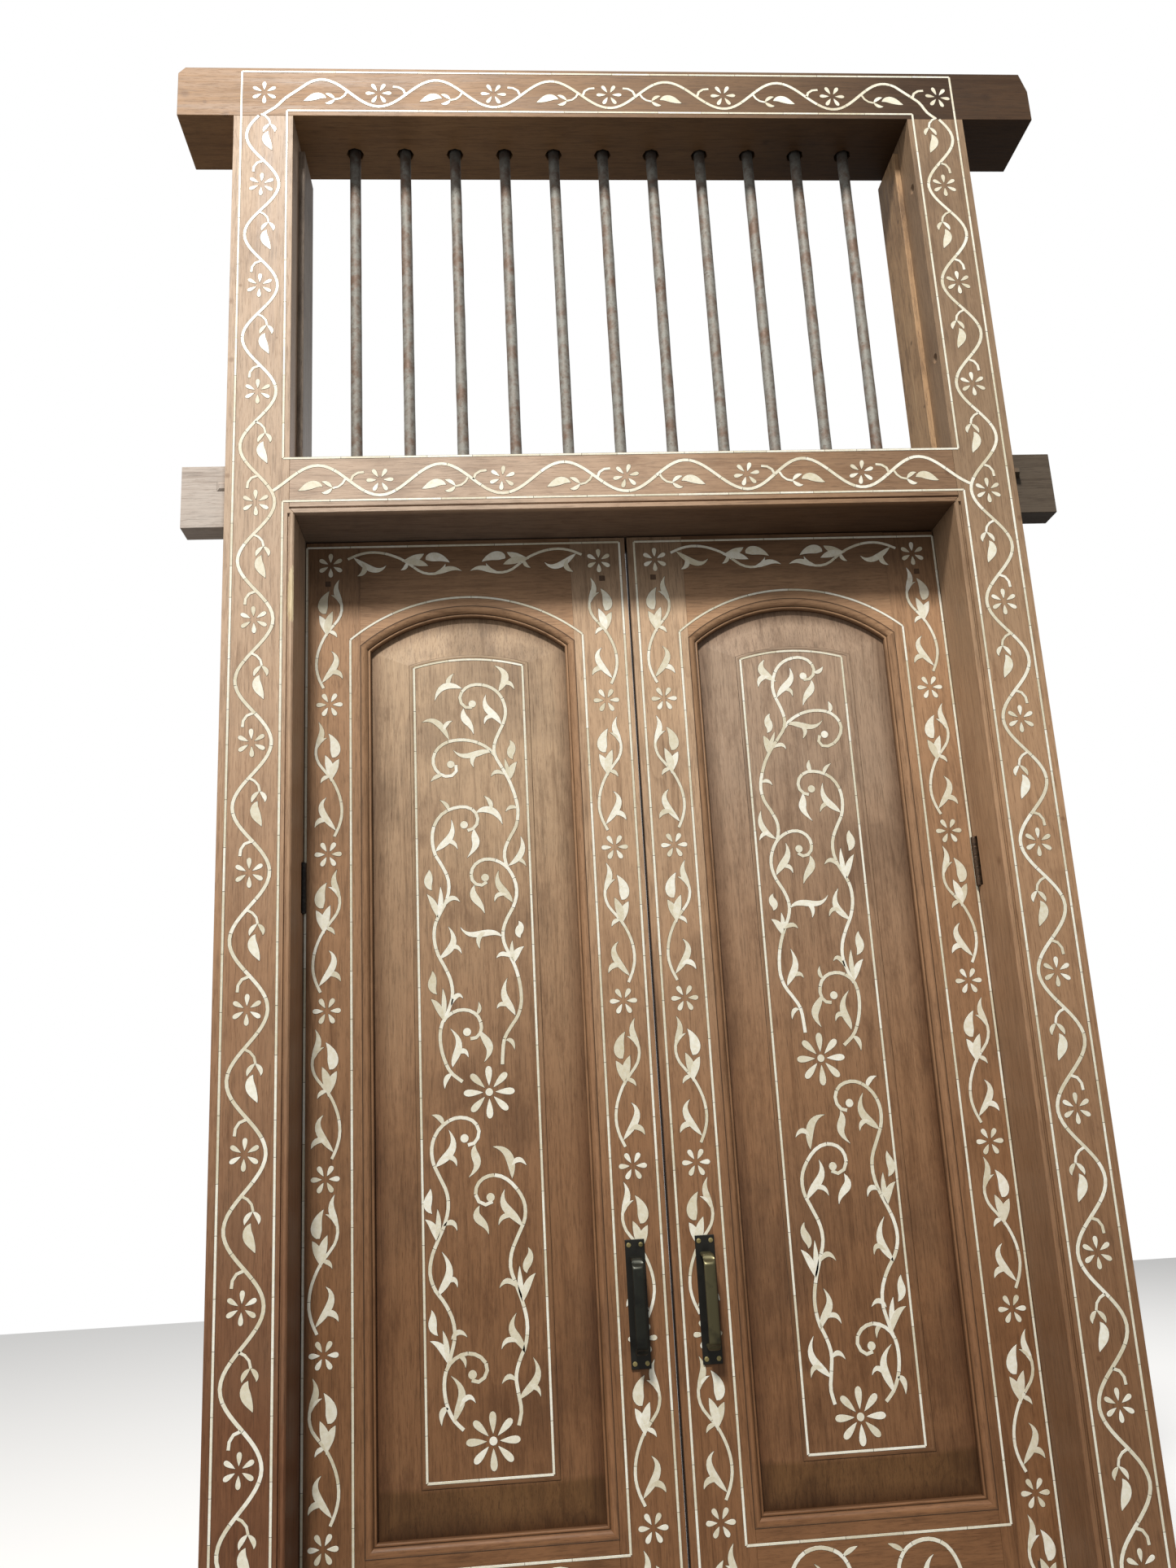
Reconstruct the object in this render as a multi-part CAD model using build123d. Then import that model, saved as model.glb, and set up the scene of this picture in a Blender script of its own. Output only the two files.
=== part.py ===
from build123d import *
import math
import os

# A tall pair of teak doors in a pegged frame, inlaid with bone, with a barred light above.
# X runs to the right, Y runs back into the wall, Z runs up. Millimetres.
# Every piece is drawn with the frame's front face on y = 0 and its feet on z = 0, and is saved with
# the origin on the floor midway between the jambs and midway through the frame's depth.

os.makedirs("parts", exist_ok=True)

# Frame sizes
frame_width = 1300.0          # across the two jambs
frame_depth = 152.0
door_head_z = 2243.0          # underside of the transom rail
light_height = 661.0          # clear height of the barred light
rail_face = 96.0              # face height of the transom rail
head_height = 100.0
face_width = 102.0            # jamb face in the light
bead = 8.0                    # bead around the doorway, beyond the face
bead_round = 2.4              # softening of the bead's corners
quirk = 2.5                   # groove beside the bead
quirk_depth = 4.0
horn_left = 97.0              # lintel past the jamb, left
horn_right = 131.0            # lintel past the jamb, right
horn_corner = 12.0            # worn top corners of the horns
horn_slope = 38.0
tenon_horn = 74.0             # transom tenon past the jamb
tenon_front = 22.0            # transom tenon behind the frame's face
tenon_thick = 44.0
peg_size = 16.0
peg_stand_left = 3.0          # the left peg is broken off short
peg_stand_right = 14.0
peg_gap = 1.0                 # peg to the jamb's outer face
peg_height = 59.5             # middle of the peg above the door head
peg_tail = 6.0                # peg past the tenon's back
stub = 60.0                   # jamb tenon up into the head
stub_thick = 40.0
stub_width = 51.0
stub_inset = 22.5             # stub tenon from the jamb's outer face
wane_depth = 24.0             # worn back edge under the lintel's horns
wane_height = 30.0
wane_gap = 6.0                # wane starts this far past the jamb

# Light
bar_diameter = 20.0
bar_count = 11
bar_pitch = 90.4
bar_y = 90.0
bar_seat = 22.0               # bar into the transom rail
bar_entry = 24.0              # bar into the lintel
head_hole_diameter = 28.0     # the lintel's holes are bored oversize
head_hole_over = 4.0          # and deeper than the bars reach
stop_thick = 10.0
stop_front = 60.0
stop_top_gap = 20.0
wall_screw_hole = 8.0
wall_screw_sink = 17.0
wall_screw_y = 19.0
wall_screw_drop = 133.0       # first hole under the lintel
wall_screw_pitch = 344.0

# Leaves
leaf_thick = 34.0
lip_thick = 10.8              # rebate lip at the frame's back
side_gap = 1.5
top_gap = 3.0
floor_gap = 8.0
meeting_gap = 4.0
stop_gap = 1.2                # leaf back to rebate lip
lip = 12.0                    # rebate lip into the doorway
hinge_stile_width = 89.0
meeting_stile_width = 94.5
top_rail_height = 185.0
lock_rail_height = 186.0
lock_rail_top = 716.0
bottom_rail_height = 160.0
arch_rise = 66.0              # rise of the panel's arched head
moulding = 16.0               # moulding worked on the edge round each panel
moulding_drop = 11.0
rail_tenon = 70.0
rail_tenon_thick = 10.0
tenon_shoulder = 20.0
tongue = 9.0
tongue_thick = 8.0
bevel_width = 67.5
bevel_drop = 9.0
field_rise = 14.5
field_head = 73.0             # bevel above the field, at the crown
panel_set = 21.0              # middle of the panel's tongue behind the leaf's face
pin_size = 9.0
pin_inset = 53.0              # draw pin from the opening, into the stile
pin_fall = 0.4                # of the rail's height, down from its top
pin_blind = 4.0               # wood left behind the pin

# Hinges
hinge_length = 80.0
knuckle_radius = 5.0
hinge_pin_radius = 2.5
hinge_plate = 2.0
hinge_play = 0.05
hinge_weld = 0.5              # barrel sunk in its plate
barrel_gap = 0.3
pin_end = 1.5                 # pin past the barrels
pin_clear = 0.5
hinge_z = (593.0, 1655.0)
hinge_front = 13.0            # frame plate in front of the pin

# Handles
handle_length = 177.0
handle_width = 29.0
handle_plate_thick = 3.0
handle_z = 1022.0
handle_x = 52.3               # from the meeting line
grip_span = 132.0
grip_width = 17.0
grip_thick = 6.0
grip_reach = 36.0
grip_bend = 14.0              # chamfer at the grip's ends
screw_head = 7.0
screw_stand = 1.4
screw_side = 5.5              # screw from the plate's long edge
screw_end = 7.5               # and from its end

# Inlay
bone = 0.8                    # thickness of the bone pieces
string_width = 3.4
string_inset = 12.0           # middle of the string from the arris
string_border = 16.5          # string from the panel's opening
arch_spring_lift = 12.0
flower_pitch = 199.0
flower_radius = 22.0
petal_root = 0.36             # of the flower's radius, between petals
vine_width = 5.5
vine_swing = 30.0
leaf_pitch = 245.0
leaf_first_flower = 36.0      # below the leaf's top
leaf_flower_radius = 19.0
field_flower_radius = 36.0
inlay_gap = 4.0               # bone stops short of the floor and of joints
bone_clear = 0.5              # bone to the hinges and the handle's plate
sprig_line = ((0.06, 0.15), (-0.07, 0.5), (0.06, 0.85))          # aside and along, of the leaf's pitch
rail_sprig_line = ((0.1, -6.0), (0.5, 8.0), (1.0, -4.0))         # along, of half the rail, and up
field_groups = ((0.09, 0.42), (0.49, 0.94))                      # of the field's height
field_flower_fall = 0.04
field_vine_side = 0.3         # of the field's width, from its middle
field_vine_sway = 0.35
field_string_inset = 2.7

# Worked-out places
half = frame_width / 2
reveal_y = frame_depth - lip_thick - stop_gap - leaf_thick    # leaf face behind the frame's face
light_z = door_head_z + rail_face
head_z = light_z + light_height
top_z = head_z + head_height
light_half = half - face_width
door_half = light_half - bead
leaf_back = reveal_y + leaf_thick
lip_y = leaf_back + stop_gap
leaf_outer = door_half - side_gap
leaf_inner = meeting_gap / 2
leaf_top = door_head_z - top_gap
opening_outer = leaf_outer - hinge_stile_width
opening_inner = leaf_inner + meeting_stile_width
opening_half = (opening_outer - opening_inner) / 2
leaf_mid = (opening_outer + opening_inner) / 2
spring_z = leaf_top - top_rail_height
pivot_x = door_half - side_gap / 2
pivot_y = reveal_y - knuckle_radius
first_flower = head_z - 141.0


# Helpers shared by the sub-parts

def block(x0, x1, y0, y1, z0, z1):
    box = Box(abs(x1 - x0), abs(y1 - y0), abs(z1 - z0))
    return Pos((x0 + x1) / 2, (y0 + y1) / 2, (z0 + z1) / 2) * box


def rod(x, y, z0, z1, radius):
    return Pos(x, y, (z0 + z1) / 2) * Cylinder(radius, z1 - z0)


def plan_prism(points, z0, z1):
    wire = Polyline(*[(x, y, z0) for x, y in points], close=True)
    return extrude(make_face(wire), z1 - z0, dir=(0, 0, 1))


def face_prism(points, y0, y1):
    wire = Polyline(*[(x, y0, z) for x, z in points], close=True)
    return extrude(make_face(wire), y1 - y0, dir=(0, 1, 0))


def mirrored(shape):
    return mirror(shape, about=Plane.YZ)


def save(shape, name, colour):
    solids = list((Pos(0, -frame_depth / 2, 0) * shape).solids())
    out = solids[0] if len(solids) == 1 else Compound(children=solids)
    out.label = name
    out.color = colour
    export_step(out, f"parts/{name}.step")


teak = Color(0.55, 0.33, 0.19)
bone_colour = Color(0.93, 0.90, 0.80)
iron = Color(0.25, 0.23, 0.22)
bar_metal = Color(0.45, 0.40, 0.36)
brass = Color(0.50, 0.42, 0.22)


# Lintel

def socket(x, z0, z1, across, sides):
    hole = RegularPolygon(across / 2, sides, major_radius=False)
    return extrude(Plane((x, bar_y, z0)) * hole, z1 - z0)


def bar_places():
    start = -bar_pitch * (bar_count - 1) / 2
    return [start + bar_pitch * i for i in range(bar_count)]


def stub_tenon(side):
    outer = half - stub_inset
    inner = outer - stub_width
    y0 = frame_depth / 2 - stub_thick / 2
    return block(side * inner, side * outer, y0, y0 + stub_thick, head_z, head_z + stub)


def head_beam():
    left = -half - horn_left
    right = half + horn_right
    outline = [(left, head_z), (right, head_z), (right, top_z - horn_slope), (right - horn_corner, top_z),
               (left + horn_corner, top_z), (left, top_z - horn_corner)]
    beam = face_prism(outline, 0, frame_depth)
    for side, end in ((-1, left), (1, right)):
        wane = Polyline((0, frame_depth - wane_depth, head_z), (0, frame_depth, head_z),
                        (0, frame_depth, head_z + wane_height), close=True)
        cut = extrude(make_face(wane), abs(end) - half - wane_gap, dir=(side, 0, 0))
        beam -= Pos(side * (half + wane_gap), 0, 0) * cut
    for side in (-1, 1):
        beam -= stub_tenon(side)
    for x in bar_places():
        beam -= socket(x, head_z - 1, head_z + bar_entry + head_hole_over, head_hole_diameter, 8)
    return beam


# Jambs

def jamb_section():
    inner = -light_half
    groove = inner - quirk
    r = bead_round
    return [(-half, 0), (groove, 0), (groove, quirk_depth), (inner, quirk_depth),
            (inner, r), (inner + r, 0), (-door_half - r, 0), (-door_half, r),
            (-door_half, lip_y), (-door_half + lip, lip_y), (-door_half + lip, frame_depth),
            (-half, frame_depth)]


def hinge_pocket(z):
    depth = pivot_x + knuckle_radius + hinge_plate - hinge_weld - door_half
    reach = hinge_length / 2 + pin_end
    plate = block(-door_half, -door_half - depth, pivot_y - hinge_front, leaf_back,
                  z - hinge_length / 2, z + hinge_length / 2)
    around = hinge_pin_radius + pin_clear
    ends = block(-door_half, -pivot_x - around, pivot_y - around, pivot_y + around, z - reach, z + reach)
    return plate + ends


def transom_mortise():
    return block(-half, -light_half, tenon_front, tenon_front + tenon_thick,
                 door_head_z - lip, light_z)


def jamb_left():
    lower = plan_prism(jamb_section(), 0, door_head_z)
    upper = block(-half, -light_half, 0, frame_depth, door_head_z, head_z)
    mitre = face_prism([(-light_half, door_head_z), (-door_half, door_head_z),
                        (-light_half, door_head_z + bead)], 0, frame_depth)
    post = lower + upper + mitre
    post -= transom_mortise()
    for z in hinge_z:
        post -= hinge_pocket(z)
    return post + stub_tenon(-1)


def wall_screw_holes():
    cut = None
    for i in range(2):
        z = head_z - wall_screw_drop - wall_screw_pitch * i
        hole = Pos((half + light_half) / 2, wall_screw_y, z) * Rot(0, 90, 0) * Cylinder(
            wall_screw_hole / 2, face_width + 2)
        sink_depth = (wall_screw_sink - wall_screw_hole) / 2
        sink = Pos(light_half + sink_depth / 2, wall_screw_y, z) * Rot(0, 90, 0) * Cone(
            wall_screw_sink / 2, wall_screw_hole / 2, sink_depth)
        cut = hole + sink if cut is None else cut + hole + sink
    return cut


def jamb_right():
    return mirrored(jamb_left()) - wall_screw_holes()


# Transom rail

def transom_rail():
    face = [(-light_half, door_head_z + bead), (-door_half, door_head_z), (door_half, door_head_z),
            (light_half, door_head_z + bead), (light_half, light_z), (-light_half, light_z)]
    rail = face_prism(face, 0, frame_depth)
    rail -= block(-light_half, light_half, 0, quirk_depth,
                  door_head_z + bead, door_head_z + bead + quirk)
    rail += block(-door_half + lip, door_half - lip, lip_y, frame_depth, door_head_z - lip, door_head_z)
    for side in (-1, 1):
        rail += block(side * light_half, side * (half + tenon_horn),
                      tenon_front, tenon_front + tenon_thick, door_head_z - lip, light_z)
        rail -= peg_hole(side)
    for x in bar_places():
        rail -= socket(x, light_z - bar_seat, light_z + 1, bar_diameter, 4)
    return rail


def peg_place(side):
    return side * (half + peg_size / 2 + peg_gap), door_head_z + peg_height


def peg_hole(side):
    x, z = peg_place(side)
    return block(x - peg_size / 2, x + peg_size / 2, tenon_front - 1, tenon_front + tenon_thick + 1,
                 z - peg_size / 2, z + peg_size / 2)


def transom_peg(side, stand):
    x, z = peg_place(side)
    y1 = tenon_front + tenon_thick + peg_tail
    h = peg_size / 2
    body = block(x - h, x + h, tenon_front, y1, z - h, z + h)
    tip = peg_tip(x, z, h, stand)
    return body + tip


def peg_tip(x, z, h, stand):
    # A square pyramid cut off at half its width.
    foot = Plane(origin=(x, tenon_front, z), x_dir=(1, 0, 0), z_dir=(0, -1, 0)) * Rectangle(2 * h, 2 * h)
    return extrude(foot, stand, taper=math.degrees(math.atan(h / 2 / stand)))


# Light stops and bars

def light_stop():
    return block(-light_half, -light_half + stop_thick, stop_front, frame_depth,
                 light_z, head_z - stop_top_gap)


def grille_bar(x):
    return rod(x, bar_y, light_z - bar_seat, head_z + bar_entry, bar_diameter / 2)


# Leaf joinery, drawn for the left leaf

def opening_edges(grow=0.0):
    x0 = -opening_outer - grow
    x1 = -opening_inner + grow
    return x0, x1


def arch_face(x0, x1, z0, z_spring, rise, y):
    mid = (x0 + x1) / 2
    side = Polyline((x0, y, z_spring), (x0, y, z0), (x1, y, z0), (x1, y, z_spring))
    crown = ThreePointArc((x1, y, z_spring), (mid, y, z_spring + rise), (x0, y, z_spring))
    return make_face(side + crown)


def arch_radius(width, rise):
    return (width * width / 4 + rise * rise) / (2 * rise)


def arch_rise_for(width):
    radius = arch_radius(2 * opening_half, arch_rise) + (width / 2 - opening_half)
    return radius - math.sqrt(radius * radius - width * width / 4)


def arch_prism(grow, z0, y0, y1):
    x0, x1 = opening_edges(grow)
    rise = arch_rise_for(x1 - x0)
    crown = spring_z + arch_rise + grow
    return extrude(arch_face(x0, x1, z0, crown - rise, rise, y0), y1 - y0, dir=(0, 1, 0))


def upper_opening():
    inner = arch_prism(-moulding, lock_rail_top + moulding, reveal_y + moulding_drop, leaf_back)
    mould = loft([arch_sketch(0, lock_rail_top, reveal_y),
                  arch_sketch(-moulding, lock_rail_top + moulding, reveal_y + moulding_drop)], ruled=True)
    return inner + mould


def arch_sketch(grow, z0, y):
    x0, x1 = opening_edges(grow)
    rise = arch_rise_for(x1 - x0)
    return arch_face(x0, x1, z0, spring_z + arch_rise + grow - rise, rise, y)


def lower_bounds(grow=0.0):
    x0, x1 = opening_edges(grow)
    z0 = floor_gap + bottom_rail_height - grow
    z1 = lock_rail_top - lock_rail_height + grow
    return x0, x1, z0, z1


def rect_face(x0, x1, z0, z1, y):
    return make_face(Polyline((x0, y, z0), (x1, y, z0), (x1, y, z1), (x0, y, z1), close=True))


def lower_opening():
    x0, x1, z0, z1 = lower_bounds()
    a0, a1, b0, b1 = lower_bounds(-moulding)
    inner = block(a0, a1, reveal_y + moulding_drop, leaf_back, b0, b1)
    mould = loft([rect_face(x0, x1, z0, z1, reveal_y),
                  rect_face(a0, a1, b0, b1, reveal_y + moulding_drop)], ruled=True)
    return inner + mould


def panel_middle():
    return reveal_y + panel_set


def panel_grooves():
    y0 = panel_middle() - tongue_thick / 2
    y1 = panel_middle() + tongue_thick / 2
    reach = tongue - moulding
    upper = arch_prism(reach, lock_rail_top - reach, y0, y1)
    x0, x1, z0, z1 = lower_bounds(reach)
    return upper + block(x0, x1, y0, y1, z0, z1)


def mortises():
    x0, x1 = opening_edges(rail_tenon)
    y0 = panel_middle() - rail_tenon_thick / 2
    y1 = y0 + rail_tenon_thick
    shape = None
    for z0, z1 in rail_spans():
        cut = block(x0, x1, y0, y1, z0 + tenon_shoulder, z1 - tenon_shoulder)
        shape = cut if shape is None else shape + cut
    return shape


def rail_spans():
    lock_bottom = lock_rail_top - lock_rail_height
    return ((spring_z, leaf_top), (lock_bottom, lock_rail_top), (floor_gap, floor_gap + bottom_rail_height))


def draw_pin_places():
    x0, x1 = opening_edges(pin_inset)
    places = []
    for low, high in rail_spans():
        z = high - (high - low) * pin_fall
        places += [(x0, z), (x1, z)]
    return places


def draw_pins():
    h = pin_size / 2
    y1 = leaf_back - pin_blind
    return Compound(children=[block(x - h, x + h, reveal_y, y1, z - h, z + h) for x, z in draw_pin_places()])


def sight_spring():
    # Where the moulding's inner edge starts its arch.
    rise = arch_rise_for(2 * (opening_half - moulding))
    return spring_z + arch_rise - moulding - rise


def stile_outline(edge, opening, inward):
    # The moulding worked on the stile is mitred to the rails' at each corner.
    sight = opening + inward * moulding
    lower_z0, lower_z1 = lower_bounds()[2:]
    return [(edge, floor_gap), (opening, floor_gap), (opening, lower_z0), (sight, lower_z0 + moulding),
            (sight, lower_z1 - moulding), (opening, lower_z1), (opening, lock_rail_top),
            (sight, lock_rail_top + moulding), (sight, sight_spring()), (opening, spring_z),
            (opening, leaf_top), (edge, leaf_top)]


def leaf_cuts():
    return [upper_opening(), lower_opening(), panel_grooves(), mortises(), draw_pins()]


def hinge_stile():
    post = face_prism(stile_outline(-leaf_outer, -opening_outer, 1), reveal_y, leaf_back)
    return post - leaf_cuts() - [leaf_hinge_recess(z) for z in hinge_z]


def meeting_stile():
    post = face_prism(stile_outline(-leaf_inner, -opening_inner, -1), reveal_y, leaf_back)
    return post - leaf_cuts()


def rail_outline(index):
    x0, x1 = opening_edges()
    s0, s1 = opening_edges(-moulding)
    low, high = rail_spans()[index]
    if index == 0:
        return [(x0, low), (s0, sight_spring()), (s1, sight_spring()), (x1, low), (x1, high), (x0, high)]
    top = [(x1, high), (s1, high + moulding), (s0, high + moulding), (x0, high)]
    if index == 1:
        return [(x0, low), (s0, low - moulding), (s1, low - moulding), (x1, low)] + top
    return [(x0, low), (x1, low)] + top


def leaf_rail(index):
    low, high = rail_spans()[index]
    rail = face_prism(rail_outline(index), reveal_y, leaf_back)
    x0, x1 = opening_edges(rail_tenon)
    y0 = panel_middle() - rail_tenon_thick / 2
    tenon = block(x0, x1, y0, y0 + rail_tenon_thick, low + tenon_shoulder, high - tenon_shoulder)
    return rail + tenon - [upper_opening(), lower_opening(), panel_grooves(), draw_pins()]


# Panels

def field_y():
    return panel_middle() - tongue_thick / 2 - bevel_drop


def upper_panel():
    y0 = panel_middle() - tongue_thick / 2
    reach = tongue - moulding
    slab = arch_prism(reach, lock_rail_top - reach, y0, y0 + tongue_thick)
    base = arch_sketch(-moulding, lock_rail_top + moulding, y0)
    field = field_face(field_y())
    return slab + loft([base, field], ruled=True)


def field_bounds():
    x0, x1 = opening_edges(-moulding - bevel_width)
    return x0, x1, lock_rail_top + moulding + bevel_width, spring_z + arch_rise - moulding - field_head


def field_face(y):
    x0, x1, z0, crown = field_bounds()
    return arch_face(x0, x1, z0, crown - field_rise, field_rise, y)


def lower_panel():
    y0 = panel_middle() - tongue_thick / 2
    x0, x1, z0, z1 = lower_bounds(tongue - moulding)
    return block(x0, x1, y0, y0 + tongue_thick, z0, z1)


# Hinges, drawn for the left leaf

def hinge_barrel(low, high, z):
    outline = RegularPolygon(knuckle_radius, 8)
    start = Plane((-pivot_x, pivot_y, z + low + barrel_gap))
    return extrude(start * outline, high - low - 2 * barrel_gap)


def hinge_plate_frame(z):
    h = hinge_length / 2
    third = h / 3
    x1 = -pivot_x - knuckle_radius + hinge_weld
    plate = block(x1 - hinge_plate, x1, pivot_y - hinge_front, leaf_back, z - h, z + h)
    relief = block(x1 - 2 * hinge_weld, x1, pivot_y - knuckle_radius, pivot_y + knuckle_radius,
                   z - third, z + third)
    part = plate - relief + hinge_barrel(-h, -third, z) + hinge_barrel(third, h, z)
    return part - rod(-pivot_x, pivot_y, z - h, z + h, hinge_pin_radius)


def leaf_hinge_recess(z):
    h = hinge_length / 2
    return block(-leaf_outer, -leaf_outer + hinge_plate, reveal_y, leaf_back, z - h, z + h)


def hinge_plate_leaf(z):
    h = hinge_length / 2
    third = h / 3 - barrel_gap
    x1 = -leaf_outer + hinge_plate
    front = pivot_y + knuckle_radius + pin_clear
    plate = block(-leaf_outer, x1, front, leaf_back, z - h, z + h)
    web = block(-leaf_outer, x1, pivot_y, front, z - third, z + third)
    part = plate + web + hinge_barrel(-h / 3, h / 3, z)
    return part - rod(-pivot_x, pivot_y, z - h, z + h, hinge_pin_radius + hinge_play)


def hinge_pin(z):
    reach = hinge_length / 2 + pin_end
    return rod(-pivot_x, pivot_y, z - reach, z + reach, hinge_pin_radius)


# Handles, drawn for the left leaf

def screw_places():
    dx = handle_width / 2 - screw_side
    dz = handle_length / 2 - screw_end
    return [(-handle_x + i * dx, handle_z + j * dz) for i in (-1, 1) for j in (-1, 1)]


def handle_plate():
    h = handle_length / 2
    w = handle_width / 2
    return block(-handle_x - w, -handle_x + w, reveal_y - handle_plate_thick, reveal_y,
                 handle_z - h, handle_z + h)


def handle_grip():
    front = reveal_y - handle_plate_thick
    s = grip_span / 2
    t = grip_thick
    bend = grip_bend
    corner = t * math.tan(math.pi / 8)
    y_out = front - grip_reach
    outer = [(front, -s), (y_out + bend, -s), (y_out, -s + bend), (y_out, s - bend),
             (y_out + bend, s), (front, s)]
    inner = [(front, s - t), (y_out + bend + corner, s - t), (y_out + t, s - bend - t + corner),
             (y_out + t, -s + bend + t - corner), (y_out + bend + corner, -s + t), (front, -s + t)]
    x0 = -handle_x - grip_width / 2
    wire = Polyline(*[(x0, y, handle_z + z) for y, z in outer + inner], close=True)
    return extrude(make_face(wire), grip_width, dir=(1, 0, 0))


def handle_screws():
    front = reveal_y - handle_plate_thick
    heads = []
    for x, z in screw_places():
        outline = Plane((x, front, z), x_dir=(1, 0, 0), z_dir=(0, -1, 0)) * RegularPolygon(screw_head / 2, 8)
        heads.append(extrude(outline, screw_stand))
    return Compound(children=heads)


# Inlay

def flower(x, z, y, radius, petals=6):
    points = []
    for i in range(2 * petals):
        r = radius if i % 2 == 0 else radius * petal_root
        a = math.pi * (i / petals + 0.5)
        points.append((x + r * math.cos(a), z + r * math.sin(a)))
    return face_prism(points, y - bone, y)


def rosette(x, z, y, radius, sides=6):
    points = []
    for i in range(sides):
        a = 2 * math.pi * i / sides
        points.append((x + radius * math.cos(a), z + radius * math.sin(a)))
    return face_prism(points, y - bone, y)


def ribbon(path, width, y):
    left, right = [], []
    for i, (x, z) in enumerate(path):
        x0, z0 = path[max(i - 1, 0)]
        x1, z1 = path[min(i + 1, len(path) - 1)]
        length = math.hypot(x1 - x0, z1 - z0)
        nx, nz = -(z1 - z0) / length, (x1 - x0) / length
        left.append((x + nx * width / 2, z + nz * width / 2))
        right.append((x - nx * width / 2, z - nz * width / 2))
    return face_prism(left + right[::-1], y - bone, y)


def string(x0, z0, x1, z1, y):
    h = string_width / 2
    if abs(x1 - x0) < abs(z1 - z0):
        return block(x0 - h, x0 + h, y - bone, y, min(z0, z1), max(z0, z1))
    return block(min(x0, x1), max(x0, x1), y - bone, y, z0 - h, z0 + h)


def joined(pieces):
    return pieces[0] + pieces[1:]


def wave(length, first_crest, swing):
    # Points down a vine whose bulges are one flower pitch apart.
    count = round(length / flower_pitch * 4)
    path = []
    for i in range(count + 1):
        s = length * i / count
        path.append((s, swing * math.cos(2 * math.pi * (s - first_crest) / flower_pitch)))
    return path


def jamb_inlay():
    outer = -half + string_inset
    inner = -light_half - string_inset + string_width / 2
    mid = (outer + inner) / 2
    pieces = [string(outer, inlay_gap, outer, head_z, 0), string(inner, light_z, inner, head_z, 0),
              string(inner, inlay_gap, inner, door_head_z + bead + quirk, 0)]
    for i in range(int(first_flower // flower_pitch) + 1):
        pieces.append(flower(mid, first_flower - flower_pitch * i, 0, flower_radius))
    start = head_z - inlay_gap
    path = wave(start - inlay_gap, start - first_flower, vine_swing)
    pieces.append(ribbon([(mid + v, start - s) for s, v in path], vine_width, 0))
    return joined(pieces)


def rail_inlay(x_string, z_low, z_high, flowers):
    z = (z_low + z_high) / 2
    pieces = [string(-x_string, z_low, x_string, z_low, 0), string(-x_string, z_high, x_string, z_high, 0)]
    for i in range(flowers):
        pieces.append(flower((i - (flowers - 1) / 2) * flower_pitch, z, 0, flower_radius))
    end = min(flowers * flower_pitch / 2, x_string)
    swing = (z_high - z_low) / 2 - vine_width - string_width
    path = wave(2 * end, end, -swing)
    pieces.append(ribbon([(s - end, z + v) for s, v in path], vine_width, 0))
    return joined(pieces)


def head_inlay():
    low = head_z + string_inset - string_width / 2
    high = top_z - string_inset + 2 * string_width / 2
    side = half - string_inset
    ends = [string(x, head_z, x, high, 0) for x in (-side, side)]
    return rail_inlay(side, low, high, 7) + ends


def transom_inlay():
    low = door_head_z + bead + quirk + string_inset / 2 + string_width / 2
    return rail_inlay(light_half, low, light_z - string_width, 5)


def opening_string():
    x0, x1 = opening_edges(string_border)
    z0 = lock_rail_top - string_border - string_width
    z1 = spring_z + arch_spring_lift
    rise = spring_z + arch_rise + string_border + string_width / 2 - z1
    return [string(x0, z0, x0, z1, reveal_y), string(x1, z0, x1, z1, reveal_y),
            string(x0, z0, x1, z0, reveal_y),
            ribbon(arch_path(x0, x1, z1, rise, 8), string_width, reveal_y)]


def arch_path(x0, x1, z, rise, count):
    radius = arch_radius(x1 - x0, rise)
    mid = (x0 + x1) / 2
    swing = math.asin((x1 - x0) / 2 / radius)
    angles = [-swing + 2 * swing * i / count for i in range(count + 1)]
    return [(mid + radius * math.sin(a), z + rise - radius * (1 - math.cos(a))) for a in angles]


def stile_inlay(x, side):
    pieces = []
    first = leaf_top - leaf_first_flower
    for i in range(int(first // leaf_pitch) + 1):
        z = first - leaf_pitch * i
        pieces.append(rosette(x, z, reveal_y, leaf_flower_radius))
        if z - leaf_pitch < floor_gap:
            continue
        stem = [(x + side * u * leaf_pitch, z - w * leaf_pitch)
                for u, w in sprig_line]
        pieces.append(ribbon(stem, vine_width, reveal_y))
    return pieces


def leaf_string():
    outer = -leaf_outer + string_width / 2
    inner = -leaf_inner - string_inset
    top = leaf_top - string_inset + string_width
    low = floor_gap + string_inset
    return [string(outer, low, outer, top, reveal_y), string(inner, low, inner, top, reveal_y),
            string(outer, top, inner, top, reveal_y), string(outer, low, inner, low, reveal_y)]


def top_rail_sprigs():
    span = (opening_outer - opening_inner) / 2
    z = leaf_top - leaf_first_flower
    return [ribbon([(-leaf_mid + side * u * span, z + w) for u, w in rail_sprig_line], vine_width, reveal_y)
            for side in (-1, 1)]


def hardware_clear():
    # The bone stops short of the hinge barrels and of the handle's plate.
    h = hinge_length / 2 + pin_end + bone_clear
    cuts = [block(-pivot_x - knuckle_radius, -pivot_x + knuckle_radius + bone_clear, reveal_y - 2 * bone,
                  reveal_y, z - h, z + h) for z in hinge_z]
    w = handle_width / 2 + bone_clear
    reach = handle_length / 2 + bone_clear
    cuts.append(block(-handle_x - w, -handle_x + w, reveal_y - 2 * bone, reveal_y,
                      handle_z - reach, handle_z + reach))
    return cuts


def leaf_inlay():
    hinge_x = -(leaf_outer - string_width / 2 + opening_outer + string_border) / 2
    meeting_x = -(leaf_inner + string_inset + opening_inner - string_border) / 2
    pieces = leaf_string() + opening_string() + top_rail_sprigs()
    pieces += stile_inlay(hinge_x, 1) + stile_inlay(meeting_x, -1)
    return joined(pieces) - hardware_clear() + field_inlay()


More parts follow.
